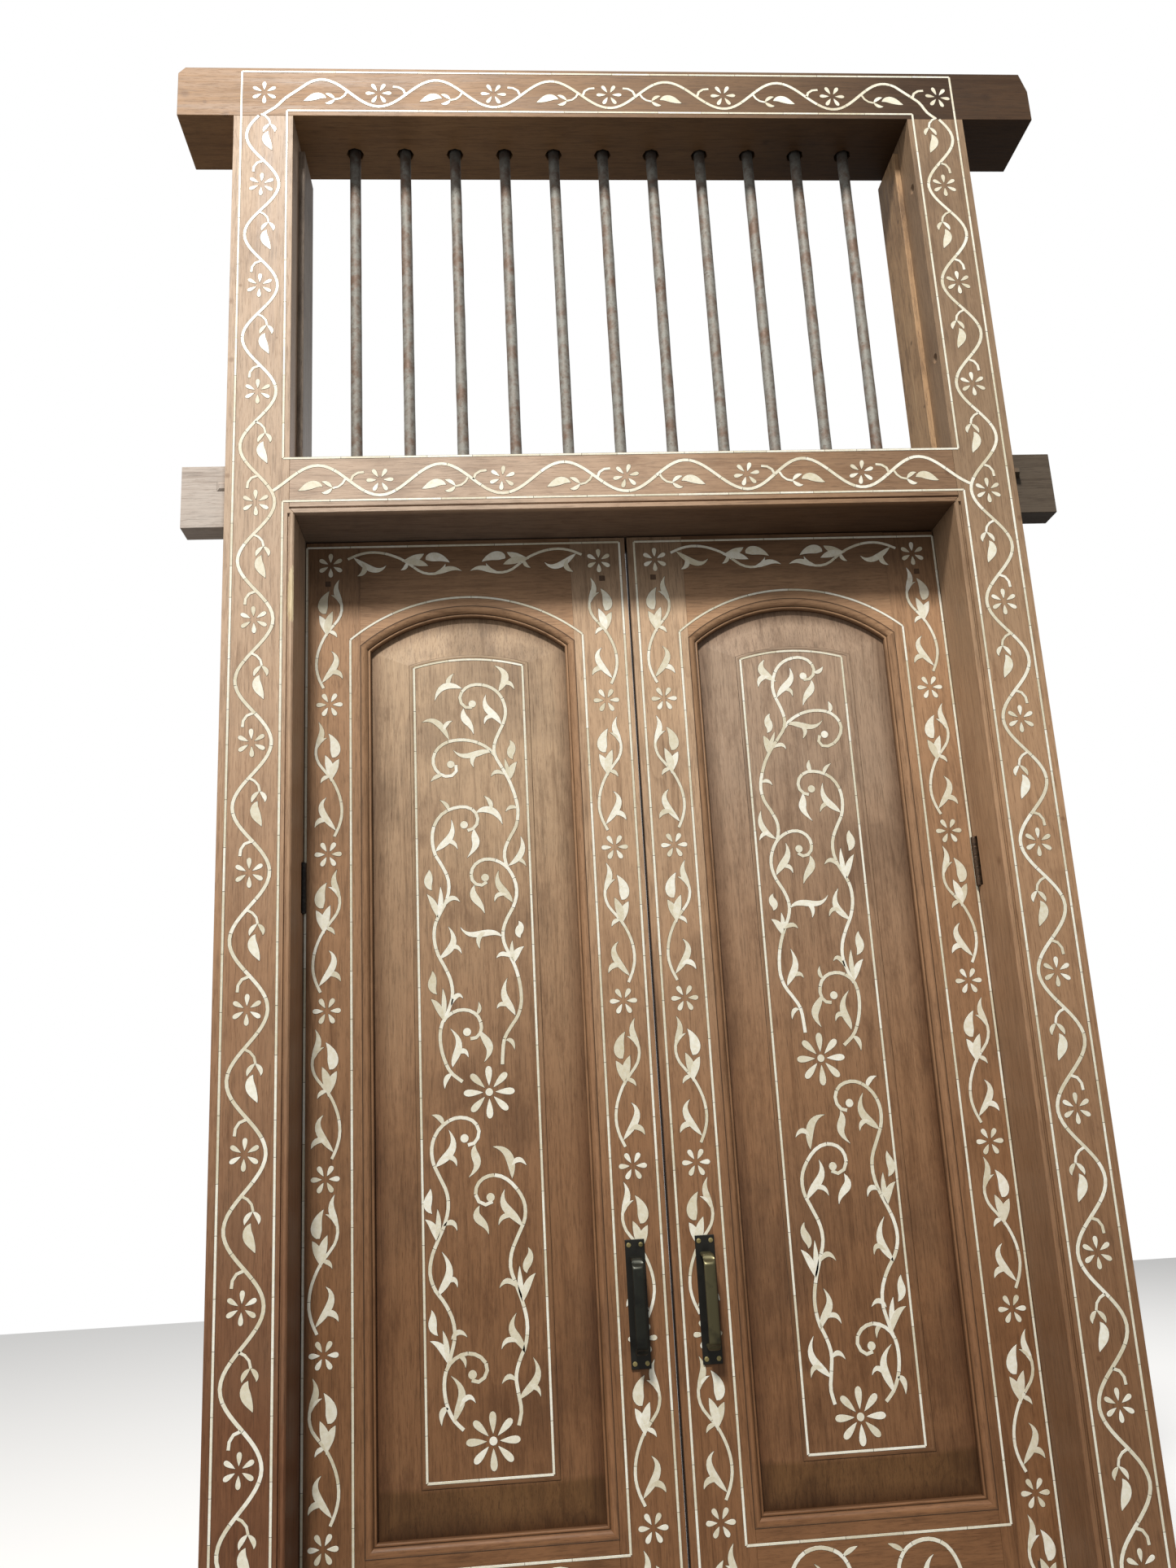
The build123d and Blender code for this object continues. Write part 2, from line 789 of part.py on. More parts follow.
def field_inlay():
    x0, x1, z0, crown = field_bounds()
    y = field_y()
    e = field_string_inset
    spring = crown - field_rise
    pieces = [string(x0 + e, z0 + e, x0 + e, spring, y), string(x1 - e, z0 + e, x1 - e, spring, y),
              string(x0 + e, z0 + e, x1 - e, z0 + e, y),
              ribbon(arch_path(x0 + e, x1 - e, spring, field_rise - e, 4), string_width, y)]
    mid = (x0 + x1) / 2
    tall = spring - z0
    reach = (x1 - x0) * field_vine_side
    for low, high in field_groups:
        pieces.append(rosette(mid, z0 + tall * (low - field_flower_fall), y, field_flower_radius, 8))
        for side in (-1, 1):
            steps = 7
            path = [(mid + side * reach * (1 + field_vine_sway * math.sin(i * 1.6 + side)),
                     z0 + tall * (low + (high - low) * i / steps)) for i in range(steps + 1)]
            pieces.append(ribbon(path, vine_width, y))
    return pieces


# Export

def export_frame():
    save(head_beam(), "head_beam", teak)
    save(jamb_left(), "jamb_left", teak)
    save(jamb_right(), "jamb_right", teak)
    save(transom_rail(), "transom_rail", teak)
    save(transom_peg(-1, peg_stand_left), "transom_peg_left", teak)
    save(transom_peg(1, peg_stand_right), "transom_peg_right", teak)
    save(light_stop(), "light_stop_left", teak)
    save(mirrored(light_stop()), "light_stop_right", teak)
    for i, x in enumerate(bar_places()):
        save(grille_bar(x), f"grille_bar_{i + 1:02d}", bar_metal)
    save(head_inlay(), "inlay_head", bone_colour)
    save(transom_inlay(), "inlay_transom", bone_colour)
    save(jamb_inlay(), "inlay_jamb_left", bone_colour)
    save(mirrored(jamb_inlay()), "inlay_jamb_right", bone_colour)


def leaf_parts():
    return {
        "hinge_stile": (hinge_stile(), teak),
        "meeting_stile": (meeting_stile(), teak),
        "top_rail": (leaf_rail(0), teak),
        "lock_rail": (leaf_rail(1), teak),
        "bottom_rail": (leaf_rail(2), teak),
        "upper_panel": (upper_panel(), teak),
        "lower_panel": (lower_panel(), teak),
        "draw_pins": (draw_pins(), teak),
        "inlay_leaf": (leaf_inlay(), bone_colour),
        "handle_plate": (handle_plate(), brass),
        "handle_grip": (handle_grip(), brass),
        "handle_screws": (handle_screws(), brass),
    }


def export_leaves():
    for name, (shape, colour) in leaf_parts().items():
        save(shape, f"{name}_left", colour)
        save(mirrored(shape), f"{name}_right", colour)


def export_hinges():
    for level, z in zip(("lower", "upper"), hinge_z):
        for name, shape in (("frame_plate", hinge_plate_frame(z)), ("leaf_plate", hinge_plate_leaf(z)),
                            ("pin", hinge_pin(z))):
            save(shape, f"hinge_{name}_{level}_left", iron)
            save(mirrored(shape), f"hinge_{name}_{level}_right", iron)


export_frame()
export_leaves()
export_hinges()
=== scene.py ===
import bmesh
import bpy
import numpy as np
from mathutils import Matrix


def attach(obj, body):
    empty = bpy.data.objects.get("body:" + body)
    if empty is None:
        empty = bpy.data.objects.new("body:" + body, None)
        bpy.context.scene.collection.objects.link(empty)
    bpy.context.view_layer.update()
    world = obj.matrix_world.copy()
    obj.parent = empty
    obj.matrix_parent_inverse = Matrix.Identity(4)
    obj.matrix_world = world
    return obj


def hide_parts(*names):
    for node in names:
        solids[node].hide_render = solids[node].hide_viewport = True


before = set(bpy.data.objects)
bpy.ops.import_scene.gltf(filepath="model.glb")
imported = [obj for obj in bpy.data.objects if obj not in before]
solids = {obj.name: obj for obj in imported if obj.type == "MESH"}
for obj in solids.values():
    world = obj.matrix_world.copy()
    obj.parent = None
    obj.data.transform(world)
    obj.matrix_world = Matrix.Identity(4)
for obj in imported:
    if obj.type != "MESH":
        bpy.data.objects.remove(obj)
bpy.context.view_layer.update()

# Frame timbers
# The lintel, the two jambs and the transom are old teak, planed by hand, oiled, and pegged together.
# Their arrises are worn soft, so each timber keeps its solid's form with its edges eased.
# The tones of a wood are its pale, its brown and its dark.
frame_tones = ((0.53, 0.35, 0.21), (0.41, 0.256, 0.148), (0.225, 0.124, 0.066))
frame_face = -0.076
frame_ease, small_ease = 0.0011, 0.0008


def added(tree, kind, **sockets):
    """Adds one shader node; a socket takes a value, or the output that is linked to it."""
    made = tree.nodes.new("ShaderNode" + kind)
    for name, value in sockets.items():
        socket = made.inputs[int(name[1:])] if name[0] == "i" and name[1:].isdigit() else made.inputs[name]
        if isinstance(value, bpy.types.NodeSocket):
            tree.links.new(value, socket)
        else:
            socket.default_value = value
    return made


def ramp(tree, fac, stops):
    """A colour ramp; each stop is a place from 0 to 1 and a colour or a grey."""
    made = added(tree, "ValToRGB", Fac=fac)
    ends = made.color_ramp.elements
    while len(ends) < len(stops):
        ends.new(0.5)
    for end, (place, colour) in zip(ends, stops):
        end.position = place
        rgb = (colour, colour, colour) if isinstance(colour, float) else colour
        end.color = (*rgb, 1.0)
    return made.outputs["Color"]


def mixed(tree, mode, amount, first, second):
    """Mixes two colours in one mode; the amount is a number or an output."""
    made = tree.nodes.new("ShaderNodeMix")
    made.data_type = "RGBA"
    made.blend_type = mode
    for socket, value in ((made.inputs[0], amount), (made.inputs[6], first), (made.inputs[7], second)):
        if isinstance(value, bpy.types.NodeSocket):
            tree.links.new(value, socket)
        else:
            socket.default_value = (*value, 1.0) if isinstance(value, tuple) else value
    return made.outputs[2]


def reckoned(tree, operation, first, second=0.0):
    """One step of arithmetic on two numbers or outputs."""
    made = added(tree, "Math", i0=first, i1=second)
    made.operation = operation
    return made.outputs[0]


def noise(tree, vector, scale, detail, roughness=0.5, distortion=0.0):
    """A noise over some coordinates."""
    return added(tree, "TexNoise", Vector=vector, Scale=scale, Detail=detail, Roughness=roughness,
                 Distortion=distortion).outputs["Fac"]


def offset(tree, operation, first, second=(0.0, 0.0, 0.0)):
    """One step of arithmetic on two places; a distance or a length comes out as a number."""
    made = added(tree, "VectorMath", i0=first, i1=second)
    made.operation = operation
    return made.outputs["Value" if operation in ("DISTANCE", "LENGTH") else "Vector"]


def begun(name):
    """A new material, with its node tree, its Object coordinates and its shader."""
    made = bpy.data.materials.new(name)
    made.use_nodes = True
    tree = made.node_tree
    return made, tree, added(tree, "TexCoord").outputs["Object"], tree.nodes["Principled BSDF"]


def surfaced(tree, shader, colour, height, strength, distance):
    """Gives a shader its colour, and a bump of some strength from a height."""
    tree.links.new(colour, shader.inputs["Base Color"])
    bump = added(tree, "Bump", Height=height, Strength=strength, Distance=distance)
    tree.links.new(bump.outputs["Normal"], shader.inputs["Normal"])


def teak(name, along, pale, brown, dark, start=0.0, wear=0.5, knots=(), raw=None, fades=(), hollows=False):
    """Oiled teak whose grain runs along one axis.

    The colour follows a noise stretched along the grain, with a few long dark growth lines. Over it lie
    fine fibre, open pores, broad worn patches, dirt and small stains. Fibre and pores give the bump.
    A knot is a place and a radius; raw is the middle and half size of a place split down to pale wood.
    A fade is an axis with its start and end, and the tint by the end; most fades are painted light and shade.
    With hollows, the mesh's own dirt attribute says where dark polish and painted shade lie.
    """
    made, tree, place, shader = begun(name)
    squeeze = {"X": (0.055, 1.0, 1.0), "Z": (1.0, 1.0, 0.055)}[along]
    grain = added(tree, "Mapping", Vector=place, Location=(start, start * 0.7, start * 1.3), Scale=squeeze)
    grain = grain.outputs["Vector"]
    figure = noise(tree, grain, 48.0, 9.0, 0.68, 0.35)
    colour = ramp(tree, figure, ((0.24, dark), (0.45, brown), (0.58, brown), (0.82, pale)))
    growth = noise(tree, grain, 21.0, 2.0, 0.5, 0.9)
    growth = reckoned(tree, "FRACT", reckoned(tree, "MULTIPLY", growth, 7.0))
    growth = ramp(tree, growth, ((0.0, 0.0), (0.80, 0.10), (0.95, 0.60), (1.0, 0.0)))
    colour = mixed(tree, "MIX", mixed(tree, "MULTIPLY", 1.0, growth, (0.55, 0.55, 0.55)), colour, dark)
    fibre = noise(tree, grain, 330.0, 5.0, 0.78)
    fibrous = ramp(tree, fibre, ((0.32, 0.50), (0.50, 0.95), (0.68, 1.0)))
    colour = mixed(tree, "MULTIPLY", 0.85, colour, fibrous)
    pores = noise(tree, grain, 900.0, 1.0)
    pitted = ramp(tree, pores, ((0.62, 0.0), (0.70, 0.6)))
    colour = mixed(tree, "MIX", pitted, colour, dark)
    cloud = noise(tree, place, 4.3, 6.0, 0.62)
    clouded = ramp(tree, cloud, ((0.36, (0.60, 0.56, 0.54)), (0.50, (1.0, 0.97, 0.95)), (0.66, 1.0)))
    colour = mixed(tree, "MULTIPLY", wear, colour, clouded)
    rubbed = added(tree, "Mapping", Vector=place, Scale=tuple(0.3 if c < 1.0 else 1.0 for c in squeeze))
    dirt = noise(tree, rubbed.outputs["Vector"], 34.0, 9.0, 0.74)
    dirty = ramp(tree, dirt, ((0.52, 0.0), (0.70, 0.95)))
    colour = mixed(tree, "MIX", mixed(tree, "MULTIPLY", 1.0, dirty, (wear, wear, wear)), colour, dark)
    for *middle, radius in knots:
        away = reckoned(tree, "DIVIDE", offset(tree, "DISTANCE", place, middle), radius)
        away = reckoned(tree, "ADD", away, reckoned(tree, "MULTIPLY", dirt, 0.7))
        colour = mixed(tree, "MIX", ramp(tree, away, ((0.55, 0.85), (0.95, 0.25), (1.35, 0.0))), colour, dark)
    if raw:
        middle, reach = raw
        near = offset(tree, "DIVIDE", offset(tree, "SUBTRACT", place, middle), reach)
        near = reckoned(tree, "ADD", offset(tree, "LENGTH", near), reckoned(tree, "MULTIPLY", dirt, 1.2))
        torn = ramp(tree, fibre, ((0.35, (0.33, 0.20, 0.09)), (0.65, (0.66, 0.49, 0.27))))
        colour = mixed(tree, "MIX", ramp(tree, near, ((0.98, 1.0), (1.22, 0.0))), colour, torn)
    for axis, first, last, tint in fades:
        where = added(tree, "SeparateXYZ", Vector=place).outputs[axis]
        where = reckoned(tree, "DIVIDE", reckoned(tree, "SUBTRACT", where, first), last - first)
        where = reckoned(tree, "ADD", where, reckoned(tree, "MULTIPLY", cloud, 0.5))
        colour = mixed(tree, "MULTIPLY", 1.0, colour, ramp(tree, where, ((0.25, 1.0), (1.0, tint))))
    if hollows:
        quirk_grime_and_shade = added(tree, "Attribute")
        quirk_grime_and_shade.attribute_name = "dirt"
        colour = mixed(tree, "MIX", quirk_grime_and_shade.outputs["Fac"], colour, tuple(0.25 * c for c in dark))
    sheen = ramp(tree, figure, ((0.3, 0.44), (0.7, 0.62)))
    tree.links.new(sheen, shader.inputs["Roughness"])
    shader.inputs["Specular IOR Level"].default_value = 0.24
    height = mixed(tree, "MIX", 0.5, fibre, ramp(tree, pores, ((0.60, 1.0), (0.74, 0.0))))
    surfaced(tree, shader, colour, mixed(tree, "MIX", 0.25, height, dirt), 0.45, 0.0005)
    return made


def dressed(mesh, name, material, body, *nodes):
    """Puts a finished mesh into the scene as one piece that rides on a body and stands for those solids."""
    piece = bpy.data.objects.new(name, mesh)
    bpy.context.scene.collection.objects.link(piece)
    mesh.materials.clear()
    mesh.materials.append(material)
    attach(piece, body)
    if nodes:
        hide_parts(*nodes)
    return piece


def eased(node, ease, material, body):
    """A piece with worn arrises: the solid's own corners, merged, with every edge sharper than the crease
    rounded off in two steps."""
    crease = np.radians(28.0)
    source = solids[node].data
    corners = np.empty(len(source.vertices) * 3)
    source.vertices.foreach_get("co", corners)
    facets = np.empty(len(source.loops), dtype=np.int32)
    source.loops.foreach_get("vertex_index", facets)
    kept, merged = np.unique(np.round(corners.reshape(-1, 3), 6), axis=0, return_inverse=True)
    facets = merged.ravel()[facets].reshape(-1, 3)
    whole = (facets[:, 0] != facets[:, 1]) & (facets[:, 1] != facets[:, 2]) & (facets[:, 0] != facets[:, 2])
    mesh = bpy.data.meshes.new("worn_" + node)
    mesh.from_pydata(kept.tolist(), [], facets[whole].tolist())
    work = bmesh.new()
    work.from_mesh(mesh)
    bmesh.ops.dissolve_limit(work, angle_limit=0.005, verts=work.verts[:], edges=work.edges[:])
    work.to_mesh(mesh)
    work.free()
    mesh.shade_smooth()
    mesh.set_sharp_from_angle(angle=crease)
    piece = dressed(mesh, "worn_" + node, material, body, node)
    rounding = piece.modifiers.new("worn arrises", "BEVEL")
    rounding.width = ease
    rounding.segments = 2
    rounding.limit_method = "ANGLE"
    rounding.angle_limit = crease
    rounding.harden_normals = True
    return piece


lintel_knots = ((-0.735, frame_face, 3.045, 0.014), (-0.700, frame_face, 3.028, 0.007),
                (-0.664, frame_face, 3.003, 0.012), (-0.585, -0.050, 3.0, 0.016), (0.30, -0.02, 3.0, 0.012),
                (0.70, frame_face, 3.05, 0.016))
lintel_tones = ((0.365, 0.218, 0.110), (0.275, 0.156, 0.073), (0.155, 0.082, 0.038))
# Painted shadow: the lintel darkens toward its right end.
lintel_painted_shadow = (("X", -0.25, 0.80, (0.19, 0.165, 0.14)),)
lintel_teak = teak("lintel teak", "X", *lintel_tones, start=0.3, knots=lintel_knots, fades=lintel_painted_shadow)
eased("head_beam", frame_ease, lintel_teak, "frame")

# The left jamb's bead is split down to raw wood beside the doorway. On the right jamb, grime has
# gathered round the two screw holes in the light, which are its last two marks.
split_bead = ((-0.545, -0.074, 2.105), (0.015, 0.012, 0.120))
left_marks = ((-0.648, frame_face, 2.63, 0.011), (-0.644, frame_face, 2.52, 0.009),
              (-0.646, frame_face, 2.31, 0.008), (-0.571, frame_face, 2.56, 0.004),
              (-0.632, frame_face, 2.66, 0.005), (-0.560, frame_face, 1.14, 0.008))
right_marks = ((0.566, frame_face, 1.93, 0.005), (0.647, frame_face, 2.21, 0.009),
               (0.644, frame_face, 1.70, 0.007), (0.560, frame_face, 1.42, 0.008),
               (0.580, frame_face, 0.93, 0.006), (0.541, -0.060, 1.640, 0.014),
               (0.549, -0.057, 2.867, 0.015), (0.549, -0.057, 2.523, 0.015))
# Painted shade darkens both jambs toward the foot. A painted sheen makes the left jamb paler and bluer toward
# the top, and painted shade darkens the right jamb toward the top.
left_shade_and_sheen = (("Z", 1.95, 0.60, (0.38, 0.27, 0.22)), ("Z", 1.55, 2.45, (1.05, 1.24, 1.52)))
right_painted_shade = (("Z", 1.95, 0.60, (0.48, 0.40, 0.34)), ("Z", 1.75, 2.50, (0.60, 0.64, 0.67)))
for side, start, raw, marks, fades in (("left", 1.7, split_bead, left_marks, left_shade_and_sheen),
                                       ("right", 4.1, None, right_marks, right_painted_shade)):
    jamb_teak = teak("jamb teak " + side, "Z", *frame_tones, start=start, raw=raw, knots=marks, fades=fades)
    eased("jamb_" + side, frame_ease, jamb_teak, "frame")

# Painted shade darkens the transom to the right and behind its face, and a painted sheen makes it paler and
# bluer on the left. Its two horns, past the jambs, have weathered grey.
transom_knots = ((0.536, frame_face, 2.296, 0.011), (-0.395, frame_face, 2.262, 0.008),
                 (-0.600, -0.05, 2.29, 0.010))
transom_fades = (("X", -0.1, 0.70, (0.50, 0.48, 0.47)), ("Y", -0.074, -0.060, (0.50, 0.49, 0.50)),
                 ("X", 0.30, -0.45, (1.06, 1.28, 1.65)), ("X", -0.652, -0.664, (1.9, 2.25, 2.6)),
                 ("X", 0.652, 0.664, (0.80, 1.05, 1.30)))
transom_teak = teak("transom teak", "X", *frame_tones, start=6.4, knots=transom_knots, fades=transom_fades)
eased("transom_rail", frame_ease, transom_teak, "frame")
for side in ("left", "right"):
    eased("transom_peg_" + side, small_ease, transom_teak, "frame")

# The left stop is grey and weathered. The right one is paler, with dark nail holes.
grey_tones = ((0.42, 0.36, 0.29), (0.27, 0.215, 0.165), (0.10, 0.07, 0.05))
grey_teak = teak("weathered teak", "Z", *grey_tones, start=8.8, wear=0.9)
eased("light_stop_left", small_ease, grey_teak, "frame")
stop_tones = ((0.50, 0.35, 0.20), (0.36, 0.23, 0.125), (0.10, 0.058, 0.032))
stop_marks = ((0.538, 0.000, 2.845, 0.008), (0.538, 0.012, 2.600, 0.007), (0.538, -0.008, 2.460, 0.006))
stop_teak = teak("stop teak", "Z", *stop_tones, start=2.9, wear=1.0, knots=stop_marks)
eased("light_stop_right", small_ease, stop_teak, "frame")

# Bars of the light
# Eleven round iron bars stand in the light, let into the lintel and the transom. Rust, old paint and
# specks of grey-green scale cover them, and painted shade darkens them close under the lintel.
bar_grey = (0.125, 0.100, 0.082)
bar_scale = (0.225, 0.225, 0.200)
bar_rust = (0.125, 0.072, 0.045)

bar_iron, tree, place, shader = begun("scaled iron")
scale = noise(tree, place, 75.0, 8.0, 0.75)
rust = noise(tree, place, 28.0, 9.0, 0.7)
colour = ramp(tree, scale, ((0.36, bar_grey), (0.58, bar_scale), (0.66, bar_grey)))
colour = mixed(tree, "MIX", ramp(tree, rust, ((0.47, 0.0), (0.62, 0.9))), colour, bar_rust)
# Painted shade: the iron darkens to a quarter of its colour close under the lintel.
high = added(tree, "SeparateXYZ", Vector=place).outputs["Z"]
high = reckoned(tree, "ADD", high, reckoned(tree, "MULTIPLY", rust, 0.05))
high = reckoned(tree, "DIVIDE", reckoned(tree, "SUBTRACT", high, 2.97), 0.06)
colour = mixed(tree, "MULTIPLY", 1.0, colour, ramp(tree, high, ((0.0, 1.0), (1.0, 0.25))))
shader.inputs["Metallic"].default_value = 0.2
tree.links.new(ramp(tree, scale, ((0.3, 0.50), (0.7, 0.80))), shader.inputs["Roughness"])
surfaced(tree, shader, colour, scale, 0.5, 0.0008)

bar_count, bar_pitch = 11, 0.0904
bar_radius, bar_waver = 0.010, 0.00025
bar_foot, bar_top, bar_depth = 2.317, 3.022, 0.014
bar_rings, bar_sides = 60, 32


def rod(rings, sides, first=0, turned=False):
    """The faces of a closed rod of points: a grid of rings, each with so many sides, and a cap at each
    end. Turned is for rings that run the other way round."""
    ring = first + np.arange(rings - 1)[:, None] * sides
    low = ring + np.arange(sides)
    beside = ring + (np.arange(sides) + 1) % sides
    faces = np.stack([low, beside, beside + sides, low + sides], axis=-1).reshape(-1, 4)
    foot = list(range(first, first + sides))
    top = list(range(first + (rings - 1) * sides, first + rings * sides))
    if turned:
        return faces[:, [0, 3, 2, 1]].tolist() + [foot, top[::-1]]
    return faces.tolist() + [foot[::-1], top]


def meshed(name, points, faces, crease=None):
    """A mesh of points and faces. With a crease, in degrees, it is smooth but for edges sharper than that."""
    mesh = bpy.data.meshes.new(name)
    mesh.from_pydata(np.reshape(points, (-1, 3)).tolist(), [], faces)
    if crease:
        mesh.shade_smooth()
        mesh.set_sharp_from_angle(angle=np.radians(crease))
    return mesh


for number in range(1, bar_count + 1):
    # A bar is a circle carried up a line: x and y are the girth times cosine and sine, and the girth
    # waves by a quarter of a millimetre either way, as forged iron does.
    along = np.linspace(0.0, 1.0, bar_rings)[:, None]
    turn = np.linspace(0.0, 2.0 * np.pi, bar_sides, endpoint=False)[None, :]
    girth = bar_radius - bar_waver * (1.0 + np.sin(along * 37.0 + number) * np.cos(2.0 * turn + number))
    x = (number - 6) * bar_pitch + girth * np.cos(turn)
    y = bar_depth + girth * np.sin(turn)
    z = bar_foot + (bar_top - bar_foot) * along + 0.0 * turn
    mesh = meshed("bar", np.stack([x, y, z], axis=-1), rod(bar_rings, bar_sides), crease=40.0)
    bar = dressed(mesh, f"bar_{number:02d}", bar_iron, "frame", f"grille_bar_{number:02d}")

# Bone strings of the frame
# Thin bone laths, cut in lengths of a finger, are let into grooves along every edge of the face.
# Dark glue shows at each butt joint and as a hairline along both sides.
string_half = 0.0017
string_length = 0.078
bone_lift = 0.00042
glue_lift = 0.00014
glue_rim = 0.00042
bone_sunk, bone_soft, bone_thinnest = 0.0004, 0.00022, 0.00012
string_gap = 0.00034

bone, tree, place, shader = begun("old bone")
piece_tone = added(tree, "Attribute")
piece_tone.attribute_name = "tone"
mottle = noise(tree, place, 160.0, 6.0, 0.7)
colour = ramp(tree, piece_tone.outputs["Fac"],
              ((0.0, (0.57, 0.53, 0.41)), (0.45, (0.66, 0.635, 0.53)), (1.0, (0.75, 0.74, 0.665))))
colour = mixed(tree, "MULTIPLY", 0.6, colour, ramp(tree, mottle, ((0.35, (0.80, 0.75, 0.62)), (0.6, 1.0))))
grime = ramp(tree, noise(tree, place, 38.0, 8.0, 0.75), ((0.60, 0.0), (0.74, 0.55)))
colour = mixed(tree, "MIX", grime, colour, (0.42, 0.33, 0.20))
shader.inputs["Roughness"].default_value = 0.38
shader.inputs["Specular IOR Level"].default_value = 0.5
shader.inputs["Subsurface Weight"].default_value = 0.08
shader.inputs["Subsurface Radius"].default_value = (0.0012, 0.0009, 0.0006)
surfaced(tree, shader, colour, mottle, 0.2, 0.0002)

glue, tree, place, shader = begun("dark glue line")
soot = noise(tree, place, 90.0, 4.0)
colour = ramp(tree, soot, ((0.35, (0.030, 0.018, 0.010)), (0.7, (0.12, 0.070, 0.040))))
tree.links.new(colour, shader.inputs["Base Color"])
shader.inputs["Roughness"].default_value = 0.8


def lath(path, half, face, lift, rim):
    """One bone piece as a grid: its centre path of n points, with a six-point profile square to it.

    The profile runs foot, shoulder, top, top, shoulder, foot at plus and minus the half width, so the
    top stands proud of the face by the lift, with its edges eased. The rim widens it all round.
    """
    step = np.gradient(path, axis=0)
    step /= np.maximum(np.linalg.norm(step, axis=1, keepdims=True), 1e-9)
    path = path.copy()
    path[0] -= step[0] * rim
    path[-1] += step[-1] * rim
    side = np.stack([-step[:, 1], step[:, 0]], axis=1)
    wide = np.maximum(half, bone_thinnest)[:, None] + rim
    soft = np.minimum(bone_soft, wide * 0.5)
    across = np.concatenate([-wide, -wide, soft - wide, wide - soft, wide, wide], axis=1)
    out = np.array([-bone_sunk, lift * 0.6, lift, lift, lift * 0.6, -bone_sunk])
    x = path[:, 0:1] + side[:, 0:1] * across
    z = path[:, 1:2] + side[:, 1:2] * across
    y = np.broadcast_to(face - out, x.shape)
    return np.stack([x, y, z], axis=-1)


def laid(name, laths, face, body, nodes=(), seed=1):
    """Lets a list of bone pieces (path, half width) into one face: a bone mesh, and under it the glue."""
    tones = np.random.default_rng(seed).random(len(laths))
    for kind, lift, rim, material in (("bone", bone_lift, 0.0, bone), ("glue", glue_lift, glue_rim, glue)):
        points, faces, tone, first = [], [], [], 0
        for count, (path, half) in enumerate(laths):
            # Four heights in turn, so that pieces of bone that touch don't share one top face.
            rise = lift * (1.0 + 0.09 * (count % 4)) if kind == "bone" else lift
            grid = lath(path, half, face, rise, rim)
            n = len(path)
            faces += rod(n, 6, first, turned=True)
            points.append(grid.reshape(-1, 3))
            tone.append(np.full(6 * n, tones[count]))
            first += 6 * n
        mesh = meshed(name, np.concatenate(points), faces)
        mark = mesh.attributes.new("tone", "FLOAT", "POINT")
        mark.data.foreach_set("value", np.concatenate(tone).astype(np.float32))
        piece = dressed(mesh, f"{name}_{kind}", material, body, *(nodes if kind == "bone" else ()))


def butted(start, end, seed):
    """A straight string of laths laid end to end, each a little longer or shorter than the next."""
    start, end = np.array(start), np.array(end)
    span = np.linalg.norm(end - start)
    count = max(1, int(round(span / string_length)))
    wander = np.random.default_rng(seed).uniform(-0.22, 0.22, count + 1) / count
    marks = np.linspace(0.0, 1.0, count + 1) + wander
    marks[0], marks[-1] = 0.0, 1.0
    gap = string_gap / span
    reach = end - start
    pairs = [(start + reach * (a + gap), start + reach * (b - gap)) for a, b in zip(marks, marks[1:])]
    return [(np.stack(pair), np.full(2, string_half)) for pair in pairs]


outer_x, inner_x = 0.637, 0.5585
head_high, head_low = 3.092, 3.0105
light_low, transom_low = 2.339, 2.2635
foot_gap = 0.004
frame_strings = butted((-outer_x, head_high), (outer_x, head_high), 11)
frame_strings += butted((-inner_x, head_low), (inner_x, head_low), 12)
frame_strings += butted((-inner_x, light_low), (inner_x, light_low), 13)
frame_strings += butted((-inner_x, transom_low), (inner_x, transom_low), 14)
for s in (-1, 1):
    frame_strings += butted((s * outer_x, foot_gap), (s * outer_x, head_high), 15 + s)
    frame_strings += butted((s * inner_x, light_low), (s * inner_x, head_low), 18 + s)
    frame_strings += butted((s * inner_x, foot_gap), (s * inner_x, transom_low), 21 + s)
laid("frame_strings", frame_strings, frame_face, "frame", seed=3)

# Bone vine of the frame
# A wave of bone runs up each jamb, along the lintel and along the transom. It bulges round each flower,
# and in its other half sends out a curl with two sepals and a hooked leaf.
wave_pitch = 0.199
wave_swing = 0.0282
wave_half = 0.0026
petal_inner, petal_outer, petal_half = 0.0055, 0.0225, 0.0043
curve_steps = 8
stem_gap = 0.00032


def curve(points):
    """A smooth line through given points: each run is the cubic whose slopes follow its neighbours."""
    p = np.asarray(points, dtype=float)
    p = np.concatenate([[2 * p[0] - p[1]], p, [2 * p[-1] - p[-2]]])
    t = np.linspace(0.0, 1.0, curve_steps, endpoint=False)[None, :, None]
    a, b, c, d = (p[i:len(p) - 3 + i, None, :] for i in range(4))
    run = 0.5 * (2 * b + (c - a) * t + (2 * a - 5 * b + 4 * c - d) * t**2 + (3 * b - 3 * c + d - a) * t**3)
    return np.concatenate([run.reshape(-1, 2), p[-2:-1]])


def stem(line, half, seed, length=0.056):
    """A bent stem of bone, cut in short lengths that are butted end to end."""
    reach = np.concatenate([[0.0], np.cumsum(np.linalg.norm(np.diff(line, axis=0), axis=1))])
    count = max(1, int(round(reach[-1] / length)))
    marks = np.linspace(0.0, reach[-1], count + 1)
    marks[1:-1] += np.random.default_rng(seed).uniform(-0.2, 0.2, count - 1) * length
    laths = []
    for a, b in zip(marks, marks[1:]):
        at = np.linspace(a + stem_gap, b - stem_gap, max(4, int((b - a) / 0.007)))
        path = np.stack([np.interp(at, reach, line[:, 0]), np.interp(at, reach, line[:, 1])], axis=1)
        laths.append((path, np.full(len(at), half)))
    return laths


